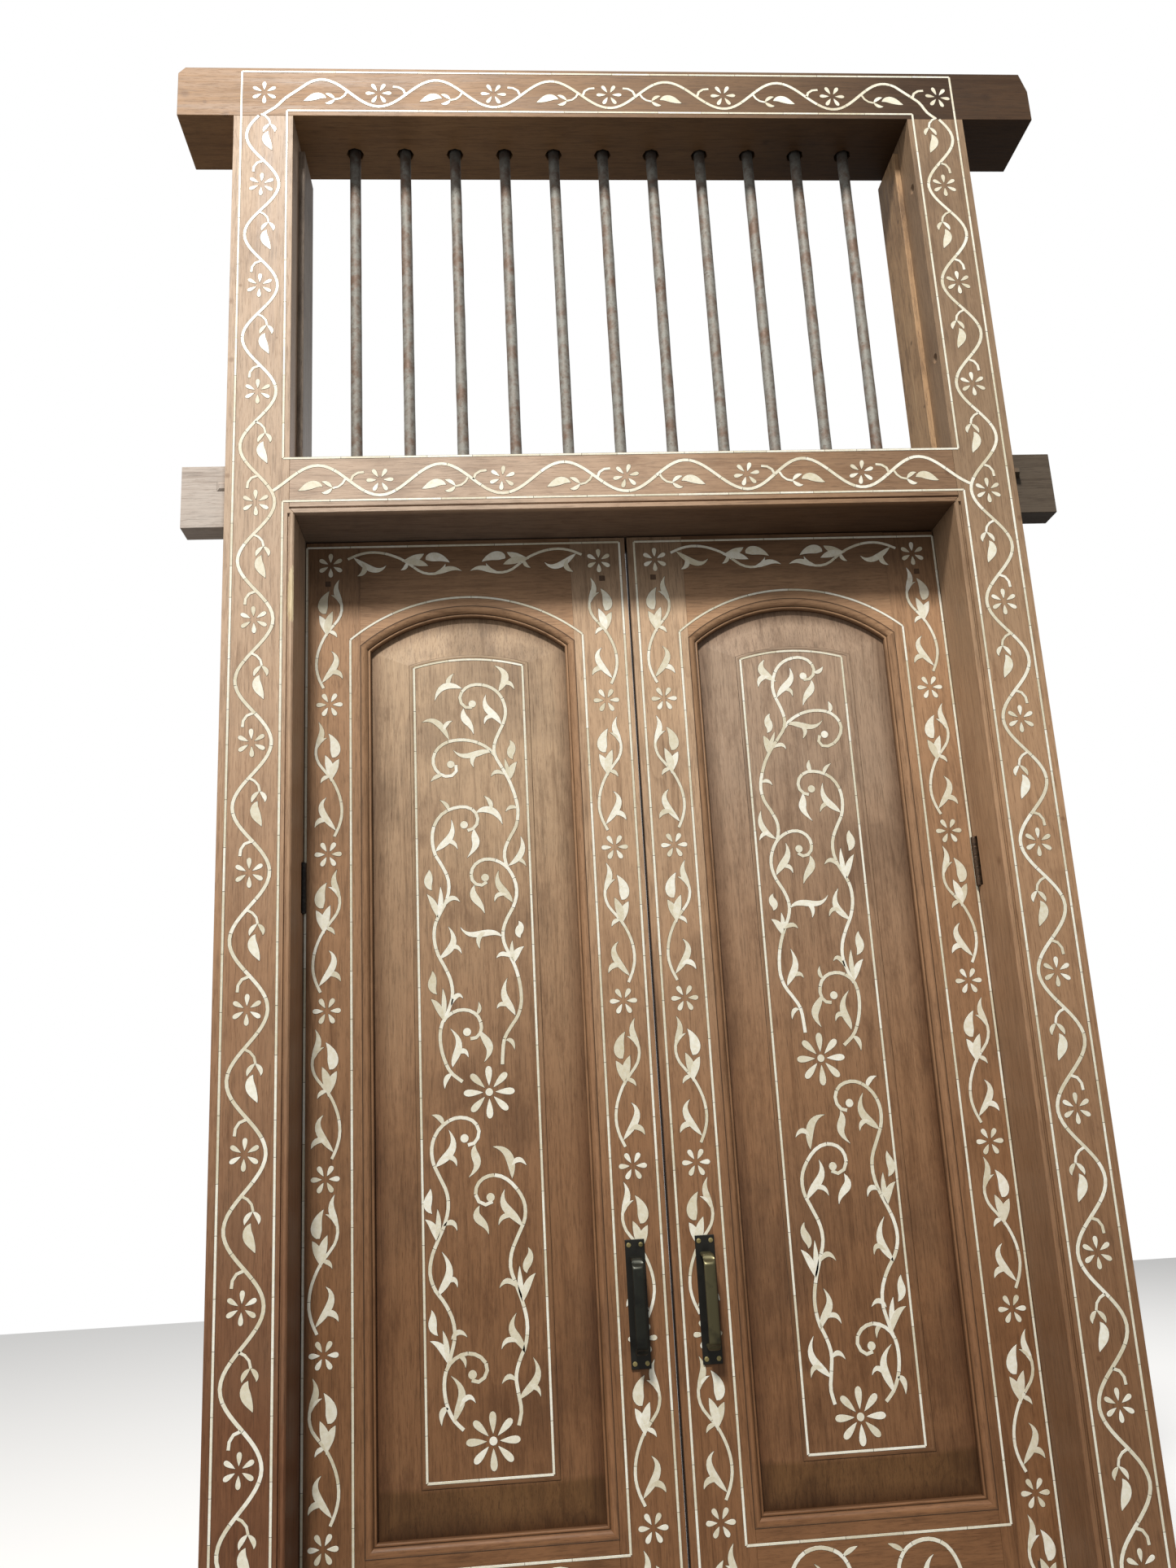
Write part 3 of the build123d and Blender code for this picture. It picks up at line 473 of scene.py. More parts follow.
def blade(points, wide, full=0.42):
    """A leaf or sepal pointed at both ends: a Bezier centre line of three or four points, with a half
    width of the sine of pi times t to a power that puts the fullest place at the given fraction."""
    p = np.asarray(points, dtype=float)
    t = np.linspace(0.0, 1.0, 13)[:, None]
    if len(p) == 3:
        path = (1 - t)**2 * p[0] + 2 * t * (1 - t) * p[1] + t**2 * p[2]
    else:
        path = (1 - t)**3 * p[0] + 3 * t * (1 - t)**2 * p[1] + 3 * t**2 * (1 - t) * p[2] + t**3 * p[3]
    half = 0.5 * wide * np.sin(np.pi * t[:, 0]**(np.log(0.5) / np.log(full)))**0.85
    return path, half


def petals(centre, count, inner, outer, half, turn):
    """A flower of teardrop petals: each half width is t to 0.85 times the root of one minus t cubed, scaled
    so that the fullest place is near the round outer end."""
    t = 0.5 - 0.5 * np.cos(np.linspace(0.0, np.pi, 10))
    wide = half * t**0.85 * np.sqrt(np.clip(1.0 - t**3, 0.0, 1.0)) / 0.74
    laths = []
    for angle in turn + np.arange(count) * 2.0 * np.pi / count:
        out = np.array([np.cos(angle), np.sin(angle)])
        laths.append((np.asarray(centre) + np.outer(inner + (outer - inner) * t, out), wide))
    return laths


def placed(points, origin, along, beside):
    """Points drawn in millimetres, first along and then beside, turned onto the face in metres."""
    p = np.asarray(points, dtype=float) * 0.001
    return np.asarray(origin) + p[:, 0:1] * np.asarray(along, float) + p[:, 1:2] * np.asarray(beside, float)


def leaf_curl(origin, along, beside, seed):
    """The curl, the two sepals and the hooked leaf that follow a flower down the vine."""
    line = curve(placed([(55, -3), (60, 6), (67, 11.5), (76, 13.5)], origin, along, beside))
    laths = stem(line, 0.0019, seed)
    for points, wide in (([(76, 13), (84, 2), (93, 2)], 0.0066), ([(76, 13), (84, 24), (93, 21)], 0.0066),
                         ([(91, 10.5), (106, 0), (116, 12), (130, 17)], 0.0142)):
        laths.append(blade(placed(points, origin, along, beside), wide, full=0.45))
    return laths


def hook(origin, along, beside, seed):
    """The short hooked tendril that leaves the wave before a flower."""
    line = curve(placed([(-47, 2), (-43, -8), (-35, -13), (-25, -14)], origin, along, beside))
    return stem(line, 0.0022, seed)


def wave(first, last, flower, along, beside):
    """The wave between two places along a jamb: swing times the cosine of its turn from the flower."""
    at = np.linspace(first, last, max(8, int(abs(last - first) / 0.006)))[:, None]
    swing = wave_swing * np.cos(2.0 * np.pi * at / wave_pitch)
    return np.asarray(flower) + at * np.asarray(along, float) + swing * np.asarray(beside, float)


def followed(flowers, level, swing, first, last):
    """The wave along a cross timber, below its level by swing times the cosine of its phase. The phase
    grows by one turn from each flower to the next, and by one in each pitch beyond the end flowers."""
    at = np.linspace(first, last, 200)
    phase = np.interp(at, flowers, np.arange(float(len(flowers))))
    phase += np.where(at < flowers[0], (at - flowers[0]) / wave_pitch, 0.0)
    phase += np.where(at > flowers[-1], (at - flowers[-1]) / wave_pitch, 0.0)
    return np.stack([at, level - swing * np.cos(2.0 * np.pi * phase)], axis=1)


jamb_flower_line, jamb_wave_line = 0.600, 0.599
jamb_top_flower = 2.859
# The wave starts in the lintel's corner and ends just above the floor.
corner_rise, floor_gap = 0.1405, 0.006
fall = (0.0, -1.0)
vine = []
for side in (-1, 1):
    inward = (-side, 0.0)
    for count in range(-1, 15):
        flower = (side * jamb_flower_line - 0.0005, jamb_top_flower - wave_pitch * count)
        seed = 100 + count * 7 + side
        if 0.03 < flower[1] < 3.0:
            vine += petals(flower, 6, petal_inner, petal_outer, petal_half, np.pi / 2 + 0.05 * np.sin(seed))
            vine += hook(flower, fall, inward, seed)
        if flower[1] > 0.16:
            vine += leaf_curl(flower, fall, inward, seed + 3)
    origin = (side * jamb_wave_line, jamb_top_flower)
    vine += stem(wave(-corner_rise, jamb_top_flower - floor_gap, origin, fall, inward), wave_half, 40 + side)

# On the lintel the curls run outward from the middle flower. The two corner flowers have turns of their
# own, and the wave is led down both corners.
lintel_flowers = [-0.598, -0.400, -0.198, 0.008, 0.214, 0.414, 0.610]
corner_turns = {-0.598: np.pi / 2, 0.610: -0.17}
lintel_line = 3.0478
for x in lintel_flowers:
    side = -1.0 if x < 0.0 else 1.0
    place, outward = (x, lintel_line), (side, 0.0)
    turn = corner_turns.get(x, 0.04 * np.sin(x * 40))
    vine += petals(place, 6, petal_inner, petal_outer, petal_half, turn)
    if abs(x) < 0.58:
        vine += leaf_curl(place, outward, fall, int(900 + 100 * x))
    if x > -0.5:
        vine += hook(place, outward, fall, int(700 + 100 * x))
    if abs(x) < 0.05:
        vine += leaf_curl(place, (-side, 0.0), fall, 951)
        vine += hook(place, (-side, 0.0), fall, 751)
middle = followed(lintel_flowers, lintel_line, wave_swing, -0.560, 0.572)
left_corner = curve([(-0.6005, 3.0005), (-0.592, 3.0075), (-0.577, 3.0185), middle[0], middle[6]])
right_corner = curve([middle[-7], middle[-1], (0.586, 3.0150), (0.600, 3.0020)])
led = np.concatenate([left_corner[:-curve_steps], middle[7:-7], right_corner[curve_steps:]])
vine += stem(led, wave_half, 61)
stood_for = ("inlay_head", "inlay_jamb_left", "inlay_jamb_right")
laid("jamb_and_lintel_vine", vine, frame_face, "frame", stood_for, seed=5)

transom_flowers = [-0.404, -0.207, -0.005, 0.195, 0.388]
transom_line, transom_swing = 2.2985, 0.0272
vine = []
for x in transom_flowers:
    side = -1.0 if x < 0.0 else 1.0
    place = (x, transom_line)
    turn = 0.25 + 0.4 * np.sin(x * 17)
    vine += petals(place, 6, petal_inner, petal_outer * 0.97, petal_half, turn)
    for way in (side,) if abs(x) > 0.05 else (side, -side):
        vine += leaf_curl(place, (way, 0.0), fall, int(1900 + 100 * x + way))
    vine += hook(place, (-side, 0.0), fall, int(1700 + 100 * x))
vine += stem(followed(transom_flowers, transom_line, transom_swing, -0.574, 0.574), wave_half, 71)
laid("transom_vine", vine, frame_face, "frame", ("inlay_transom",), seed=6)

# Door leaves
# Each leaf is stiles and rails of darker teak, mortised and draw-pinned, with a mitred moulding worked
# on the inner edges and a raised and fielded panel in its grooves.
leaf_tones = ((0.505, 0.318, 0.182), (0.39, 0.234, 0.130), (0.17, 0.090, 0.045))
panel_tones = ((0.50, 0.325, 0.195), (0.375, 0.230, 0.130), (0.17, 0.092, 0.048))
leaf_ease, panel_ease = 0.0009, 0.0006
# Painted shade darkens the leaves toward the foot, a painted shadow darkens them under the transom, and
# painted shade darkens the gaps behind the face, the panels' grooves and the raised field's foot. A painted
# sheen makes the meeting stiles and the raised fields paler and bluer toward the top.
painted_foot_shade = ("Z", 2.12, 0.60, (0.52, 0.42, 0.34))
# Painted shadow of the transom across the tops of the leaves.
shaded_top = ("Z", 2.10, 2.22, (0.50, 0.48, 0.46))
# Painted shade in the gaps behind the leaves' face.
painted_gap_shade = ("Y", 0.0400, 0.0455, (0.30, 0.26, 0.24))
# Painted shade down the panels' bevels into their grooves.
painted_groove_shade = ("Y", 0.0435, 0.0475, (0.60, 0.54, 0.50))
# Painted shade on the raised field's lower bevel.
painted_field_foot_shade = ("Z", 0.798, 0.786, (0.66, 0.66, 0.55))
# Painted sheen: the meeting stiles and the raised fields grow paler and bluer toward the top.
stile_sheen = ("Z", 1.25, 1.85, (1.28, 1.48, 1.70))
field_sheen = {"left": ("Z", 1.25, 2.0, (1.20, 1.42, 1.62)), "right": ("Z", 1.35, 2.0, (0.95, 1.12, 1.38))}
members = (("hinge_stile", "Z"), ("meeting_stile", "Z"), ("top_rail", "X"), ("lock_rail", "X"),
           ("bottom_rail", "X"))
for side, start in (("left", 9.3), ("right", 12.6)):
    body = "leaf_" + side
    for number, (member, along) in enumerate(members):
        fades = (painted_foot_shade, shaded_top, painted_gap_shade) + ((stile_sheen,) if member == "meeting_stile" else ())
        name = f"{member} teak {side}".replace("_", " ")
        wood = teak(name, along, *leaf_tones, start + number * 1.9, fades=fades)
        eased(f"{member}_{side}", leaf_ease, wood, body)
    for number, panel in enumerate(("upper_panel", "lower_panel")):
        fades = (painted_foot_shade, painted_groove_shade) + ((field_sheen[side], painted_field_foot_shade) if panel == "upper_panel" else ())
        name = f"{panel} teak {side}".replace("_", " ")
        wood = teak(name, "Z", *panel_tones, start + 21.0 + number * 3.3, wear=0.85, fades=fades)
        eased(f"{panel}_{side}", panel_ease, wood, body)

# Mouldings of the panels
# A quirked ovolo with a small bead is worked by hand round each opening and mitred at its corners, and
# a narrow fillet stands round the raised field. Old polish has gathered dark in every quirk, and painted
# shade darkens the quirks further.
# Each profile runs inward: millimetres across, millimetres down, and how much dark polish and painted
# shade lie there.
ovolo = np.array([(-0.9, 0.15, 0.9), (-0.9, -0.10, 0.9), (0.3, -0.10, 0.95), (0.5, 0.15, 0.35),
                  (3.0, 0.6, 0.0), (6.0, 1.7, 0.0), (8.5, 3.3, 0.0), (10.3, 5.3, 0.1), (11.2, 7.2, 0.7),
                  (11.4, 7.75, 1.0), (12.0, 7.3, 0.4), (12.9, 6.9, 0.0), (13.9, 7.0, 0.0), (14.9, 7.7, 0.1),
                  (15.6, 9.0, 0.4), (15.95, 11.3, 0.95), (15.6, 11.8, 1.0)])
fillet = np.array([(-5.6, 0.95, 1.0), (-5.2, 0.55, 1.0), (-4.7, 0.0, 0.6), (-4.3, -0.22, 0.1),
                   (-0.2, -0.22, 0.1), (0.2, 0.0, 0.8), (0.3, 0.3, 0.8)])
opening_middle, opening_half = 0.273, 0.1765
leaf_face, field_face = 0.030, 0.0380


def framed(name, body, middle, half, foot, crown, radius, profile, face, stuff):
    """A profile carried round an opening: up one side, over the arch and down again, then along the foot.

    Going inward by u narrows the half width, the arch's radius and its crown by u and lifts the foot by
    u, so the mitres fall where neighbouring runs meet. A radius of nought leaves the head straight.
    """
    u, drop = profile[:, 0] * 0.001, profile[:, 1] * 0.001
    reach = half - u
    if radius:
        turn = np.linspace(-1.0, 1.0, 41)[:, None] * np.arcsin(reach / (radius - u))
        over = ((radius - u) * np.sin(turn), crown - radius + (radius - u) * np.cos(turn))
    else:
        over = (np.stack([-reach, reach]), np.stack([crown - u, crown - u]))
    x = middle + np.concatenate([-reach[None], over[0], reach[None]])
    z = np.concatenate([(foot + u)[None], over[1], (foot + u)[None]])
    y = np.broadcast_to(face + drop, x.shape)
    rows, count = x.shape
    here = np.arange(rows)[:, None] * count + np.arange(count)[None, :]
    ahead = np.roll(here, -1, axis=0)
    faces = np.stack([here, np.roll(here, -1, axis=1), np.roll(ahead, -1, axis=1), ahead], axis=-1)
    mesh = meshed(name, np.stack([x, y, z], axis=-1), faces.reshape(-1, 4).tolist())
    mark = mesh.attributes.new("dirt", "FLOAT", "POINT")
    mark.data.foreach_set("value", np.tile(profile[:, 2], rows).astype(np.float32))
    work = bmesh.new()
    work.from_mesh(mesh)
    bmesh.ops.recalc_face_normals(work, faces=work.faces[:])
    work.to_mesh(mesh)
    work.free()
    mesh.shade_smooth()
    mesh.set_sharp_from_angle(angle=np.radians(32.0))
    upright, level = stuff
    piece = dressed(mesh, name, upright, body)
    mesh.materials.append(level)
    run = np.repeat(np.arange(rows), count)
    across = np.where((run == 0) | (run == rows - 2), 0, 1)
    mesh.polygons.foreach_set("material_index", across.astype(np.int32))


for side, s, start in (("left", -1, 40.2), ("right", 1, 43.9)):
    moulding_woods, fillet_woods = [], []
    for way in ("Z", "X"):
        name = f"moulding teak {way.lower()} {side}"
        moulding_woods.append(teak(name, way, *leaf_tones, start, fades=(painted_foot_shade,), hollows=True))
    for way in ("Z", "X"):
        name = f"fillet teak {way.lower()} {side}"
        fades = (painted_foot_shade, field_sheen[side])
        fillet_woods.append(teak(name, way, *panel_tones, start + 1.3, fades=fades, hollows=True))
    for level, profile, half, foot, crown, radius, face, woods in (
            ("upper_moulding_", ovolo, opening_half, 0.716, 2.121, 0.2690, leaf_face, moulding_woods),
            ("lower_moulding_", ovolo, opening_half, 0.168, 0.530, 0.0, leaf_face, moulding_woods),
            ("field_fillet_", fillet, 0.093, 0.7995, 2.032, 0.3055, field_face, fillet_woods)):
        middle = s * opening_middle
        framed(level + side, "leaf_" + side, middle, half, foot, crown, radius, profile, face, woods)

# Draw pins
# Square pegs of dark hardwood lock the leaves' corner joints. Each is driven through a stile and the
# tenon in it, and cut off flush.
pin_tones = ((0.14, 0.085, 0.05), (0.09, 0.052, 0.030), (0.05, 0.028, 0.016))
pin_wood = teak("pin wood", "Z", *pin_tones, 33.0)
for side in ("left", "right"):
    eased("draw_pins_" + side, 0.0004, pin_wood, "leaf_" + side)

# Bone strings of the leaves
# Laths of the same bone are let in end to end: one string round the leaf's own edge, one round the
# moulded opening that follows the arch, and one round the raised field of the panel.
leaf_foot, leaf_top = 0.0205, 2.2314
hinge_edge = 0.537
meeting_edges = {"left": -0.0115, "right": 0.014}
opening_sides = (0.0818, 0.466)
field_sides = {"left": (-0.3633, -0.1845), "right": (0.1827, 0.3562)}
# Foot, springing line and crown of the strings round the opening and round the field.
opening_heights = (0.6955, 2.066, 2.137)
field_heights = (0.8022, 2.0165, 2.0292)


def arched(left, right, foot, spring, crown, seed):
    """A string round an opening: straight up both sides, across the foot, and over the top along the
    circle through both springing points and the crown."""
    span, rise = 0.5 * (right - left), crown - spring
    radius = (span**2 + rise**2) / (2.0 * rise)
    reach = np.arcsin(span / radius)
    turn = np.linspace(-reach, reach, 90)
    middle = 0.5 * (left + right)
    over = np.stack([middle + radius * np.sin(turn), crown - radius + radius * np.cos(turn)], axis=1)
    laths = butted((left, foot), (left, spring), seed)
    laths += butted((right, foot), (right, spring), seed + 1)
    laths += butted((left, foot), (right, foot), seed + 2)
    return laths + stem(over, string_half, seed + 3, length=0.07)


for side, s in (("left", -1), ("right", 1)):
    low, high = sorted((s * hinge_edge, meeting_edges[side]))
    strings = butted((low, leaf_foot), (low, leaf_top), 201 + s)
    strings += butted((high, leaf_foot), (high, leaf_top), 204 + s)
    strings += butted((low, leaf_top), (high, leaf_top), 207 + s)
    strings += butted((low, leaf_foot), (high, leaf_foot), 210 + s)
    left, right = sorted(s * x for x in opening_sides)
    strings += arched(left, right, *opening_heights, 220 + 5 * s)
    laid("leaf_strings_" + side, strings, leaf_face, "leaf_" + side, seed=30 + s)
    field = arched(*field_sides[side], *field_heights, 240 + 5 * s)
    laid("field_strings_" + side, field, field_face, "leaf_" + side, seed=40 + s)

# Flowers and sprigs of the leaves
# Six-petalled flowers of bone stand a hand and a half apart on the stiles. Between them grows a sprig: an
# S-shaped stem that ends in a hooked leaf, with a bud, a tulip and a horned leaf on alternate sides.
sprig_stem = [(28, -9.5), (45.5, -17.3), (66, -21.4), (91, -18.6), (117, -8.2), (134, 4.1), (150, 15.9),
              (167, 20), (182, 17.5)]
# The hooked leaf and its spur, the bud, the tulip's two halves and its spur, and last the horned leaf with
# its lobe. Each has its points in millimetres, its width and the place of its fullest part.
sprig_blades = [([(168, 20), (187, 18), (196, 3), (218, 15.5)], 0.0098, 0.50),
                ([(180, 15), (188, 12), (191, 2)], 0.0048, 0.40),
                ([(158, -6), (166, -14), (182, -13), (198, -0.5)], 0.0162, 0.42),
                ([(118, -4), (138, -6), (155, -17)], 0.0122, 0.55),
                ([(118, -4), (138, -6), (162, 5)], 0.0128, 0.55),
                ([(126, -2), (127, 8), (116, 12)], 0.0066, 0.42),
                ([(38, -12), (57, 3), (76, 22), (92, 3)], 0.0108, 0.45),
                ([(51, -3), (60, 8), (56, 17), (44, 21)], 0.0108 * 0.80, 0.50)]


def sprig(origin, along, beside, seed):
    """One sprig between two flowers, 190 mm long, drawn from the lower flower."""
    laths = stem(curve(placed(sprig_stem, origin, along, beside)), 0.0022, seed, length=0.050)
    for points, wide, full in sprig_blades:
        laths.append(blade(placed(points, origin, along, beside), wide, full))
    return laths


# The flowers are set out downward from the lintel's underside. The outer column leans in a little towards
# the top, where its first flower hangs lower, and the inner column sits a finger's edge lower.
flower_falls = [-0.796, -1.045, -1.292, -1.535, -1.780, -2.020, -2.267, -2.512, -2.757]
lintel_underside = 3.0
leaf_petals = (0.0052, 0.0213, 0.0046)
outer_column, inner_column, corner_column = 0.507, 0.048, 0.498
for side, s in (("left", -1), ("right", 1)):
    laths = []
    for column, mirrored in ((outer_column, -s), (inner_column, s)):
        for count, fallen in enumerate(flower_falls):
            if column == outer_column:
                lean = 0.009 * min(1.0, max(0.0, (2.05 + fallen) / 1.25))
                lowered = 0.005 if count == 0 else 0.0
            else:
                lean, lowered = 0.0, 0.006
            place = (s * column - s * lean, lintel_underside + fallen - lowered)
            laths += petals(place, 6, *leaf_petals, np.pi / 2 if count == 0 else 0.0)
            if count > 0:
                way = -mirrored if count % 2 else mirrored
                laths += sprig(place, (0.0, 1.0), (-way, 0.0), 300 + count + 20 * s)
    for column, way in ((corner_column, -s), (inner_column, s)):
        corner = (s * column, lintel_underside + flower_falls[0] - 0.004)
        laths += sprig(corner, (way, 0.0), fall, 360 + s + way)
    laid("stile_sprigs_" + side, laths, leaf_face, "leaf_" + side, seed=50 + s)

# Vine of the raised field
# Two scrolling vines of bone climb above each eight-petalled flower. Their ends curl round a bead, and
# tulips, buds and horned leaves fill the field between them.


def bead(centre, radius):
    """A round bone bead: a short lath whose half width follows a circle."""
    t = np.cos(np.linspace(np.pi, 0.0, 11))
    path = np.asarray(centre) + np.stack([radius * t, 0.0 * t], axis=1)
    return path, radius * np.sqrt(np.clip(1.0 - t**2, 0.0, 1.0))


vine_half, vine_length = 0.0026, 0.042
bead_radius = 0.0062
# Stems, beads and leaves are places on a drawing of the left leaf's field, across and down, in steps of
# which 2.2 make a millimetre. A leaf's width is in the same steps.
drawing_scale = 0.001 / 2.2
drawing_left = -0.3819
drawing_lean = 0.0070
upper_top, lower_top = 2.040, 1.420


def on_field(points, top):
    """Turns places on the vine's full drawing, across and down from its left edge, into metres on the
    field. The drawing leans by a few millimetres in each metre, and this stands it upright."""
    p = np.asarray(points, dtype=float) * drawing_scale
    rise = top - p[:, 1]
    return np.stack([drawing_left + p[:, 0] + drawing_lean * (upper_top - rise), rise], axis=1)


def upper(points):
    """Places in the upper group."""
    return on_field(points, upper_top)


def lower(points):
    """Places in the lower group."""
    return on_field(points, lower_top)


upper_stems = [
    [(305, 1469), (308, 1430), (315, 1385), (337, 1348), (365, 1308), (378, 1260), (375, 1200), (362, 1145),
     (343, 1100), (327, 1060), (325, 1020), (340, 978), (365, 935), (378, 890), (373, 845), (350, 800),
     (312, 772), (270, 766), (236, 784), (222, 815), (229, 845), (253, 858), (276, 846)],
    [(350, 800), (341, 765), (344, 730), (362, 692), (386, 650), (395, 600), (390, 555), (377, 508),
     (360, 465), (337, 422), (320, 385), (321, 348), (337, 308), (358, 265), (366, 220), (352, 170),
     (320, 136), (275, 121), (235, 127), (208, 152), (204, 182), (220, 205), (246, 208)],
    [(320, 388), (296, 360), (250, 336), (200, 328), (150, 336), (115, 362), (101, 396), (106, 430),
     (130, 457), (162, 461), (182, 443), (181, 420)],
    [(170, 1519), (130, 1484), (107, 1430), (99, 1374), (106, 1326), (126, 1300), (160, 1283), (200, 1285),
     (230, 1308), (239, 1345), (226, 1373), (200, 1379)],
    [(112, 1318), (131, 1278), (145, 1230), (140, 1180), (120, 1132), (99, 1090), (88, 1040), (92, 990),
     (110, 950), (130, 914), (143, 870), (140, 825), (120, 780), (98, 740), (90, 690), (98, 640),
     (125, 600), (165, 579), (210, 575), (241, 592), (252, 622), (241, 650), (214, 661)],
]
upper_beads = [(270, 831), (247, 194), (163, 418), (190, 1356), (203, 640)]
upper_leaves = [
    ([(215, 210), (205, 262), (238, 250), (248, 308)], 27),
    ([(348, 275), (330, 225), (275, 225), (297, 160)], 26), ([(330, 248), (292, 232), (288, 272)], 15),
    ([(310, 378), (275, 358), (215, 420), (173, 365)], 22), ([(262, 382), (228, 395), (244, 431)], 16),
    ([(384, 406), (364, 378), (400, 362), (376, 334)], 29), ([(374, 478), (362, 440), (356, 402)], 15),
    ([(374, 478), (372, 440), (399, 416)], 24), ([(352, 462), (322, 436), (304, 468)], 15),
    ([(393, 588), (370, 570), (351, 598)], 14), ([(352, 792), (395, 770), (418, 735), (400, 688)], 22),
    ([(372, 772), (400, 762), (415, 796)], 15), ([(232, 855), (212, 905), (250, 905), (264, 956)], 27),
    ([(362, 922), (345, 880), (295, 868), (318, 807)], 26), ([(345, 895), (305, 880), (300, 917)], 15),
    ([(322, 1040), (280, 995), (215, 1062), (178, 1000)], 22),
    ([(265, 1020), (228, 1035), (243, 1077)], 17),
    ([(384, 1046), (366, 1022), (400, 1010), (380, 987)], 28),
    ([(358, 1128), (348, 1090), (356, 1054)], 15), ([(360, 1130), (358, 1095), (395, 1076)], 24),
    ([(348, 1112), (318, 1085), (299, 1112)], 16),
    ([(355, 1308), (340, 1265), (298, 1250), (333, 1181)], 25),
    ([(340, 1280), (305, 1255), (294, 1283)], 15), ([(320, 1390), (344, 1382), (348, 1422)], 15),
    ([(150, 588), (152, 565), (120, 547)], 14), ([(238, 655), (232, 700), (265, 700), (210, 758)], 27),
    ([(101, 732), (128, 700), (176, 690), (159, 619)], 25), ([(128, 700), (165, 686), (178, 727)], 16),
    ([(84, 868), (60, 842), (82, 818), (76, 796)], 29), ([(104, 966), (95, 915), (67, 881)], 22),
    ([(104, 966), (118, 910), (114, 857)], 18), ([(126, 925), (150, 878), (180, 912)], 17),
    ([(104, 1106), (136, 1080), (178, 1055), (137, 996)], 24),
    ([(133, 1078), (168, 1050), (180, 1092)], 15), ([(92, 1226), (60, 1196), (90, 1176), (78, 1146)], 29),
    ([(110, 1312), (100, 1262), (71, 1241)], 22), ([(110, 1312), (120, 1255), (112, 1207)], 17),
    ([(138, 1266), (160, 1212), (180, 1243)], 16), ([(222, 1300), (242, 1285), (232, 1257)], 13),
    ([(138, 1470), (140, 1430), (192, 1400), (134, 1342)], 25),
    ([(150, 1432), (182, 1400), (192, 1440)], 17),
    ([(232, 1352), (252, 1395), (285, 1405), (245, 1457)], 27),
    ([(136, 1492), (110, 1498), (110, 1538)], 17),
]
left_leaves = [
    ([(343, 150), (372, 108), (388, 80), (333, 50)], 27), ([(352, 128), (385, 100), (401, 143)], 17),
    ([(212, 135), (165, 112), (128, 118), (113, 178)], 24), ([(170, 128), (150, 105), (184, 76)], 17),
    ([(160, 328), (140, 275), (110, 235), (65, 258)], 22), ([(142, 292), (146, 262), (173, 256)], 15),
    ([(134, 458), (108, 455), (91, 479)], 15), ([(246, 598), (285, 572), (325, 592), (338, 643)], 25),
    ([(300, 588), (306, 560), (277, 537)], 16),
]
# The right leaf's own leaves, with their places and widths in metres.
right_leaves = [
    ([(0.2400, 1.9755), (0.2230, 1.9885), (0.2075, 1.9960), (0.2234, 2.0150)], 0.0135),
    ([(0.2300, 1.9835), (0.2110, 1.9880), (0.2094, 1.9665)], 0.0092),
    ([(0.3055, 1.9900), (0.3170, 1.9880), (0.3225, 2.0000)], 0.0070),
    ([(0.3262, 1.9190), (0.3310, 1.9270), (0.3255, 1.9380)], 0.0070),
    ([(0.2855, 1.8165), (0.2790, 1.8255), (0.2835, 1.8375)], 0.0074),
]
lower_stems = [
    [(140, 1215), (110, 1185), (89, 1140), (82, 1085), (91, 1037), (117, 1008), (155, 994), (195, 1004),
     (219, 1034), (212, 1064), (192, 1079), (168, 1073)],
    [(95, 1030), (108, 990), (120, 940), (114, 890), (90, 840), (60, 798), (46, 750), (53, 700), (72, 655),
     (96, 605), (110, 555), (107, 505), (85, 455), (64, 405), (63, 352), (85, 306), (125, 276), (166, 270),
     (204, 286), (219, 320), (205, 351), (180, 359)],
    [(312, 1213), (322, 1170), (315, 1120), (310, 1070), (324, 1022), (344, 980), (352, 920), (342, 860),
     (322, 800), (306, 750), (311, 700), (335, 648), (358, 600), (359, 550), (336, 505), (300, 470),
     (260, 458), (220, 471), (201, 503), (207, 534), (231, 549), (256, 540)],
]
lower_beads = [(172, 1057), (170, 337), (249, 527)]
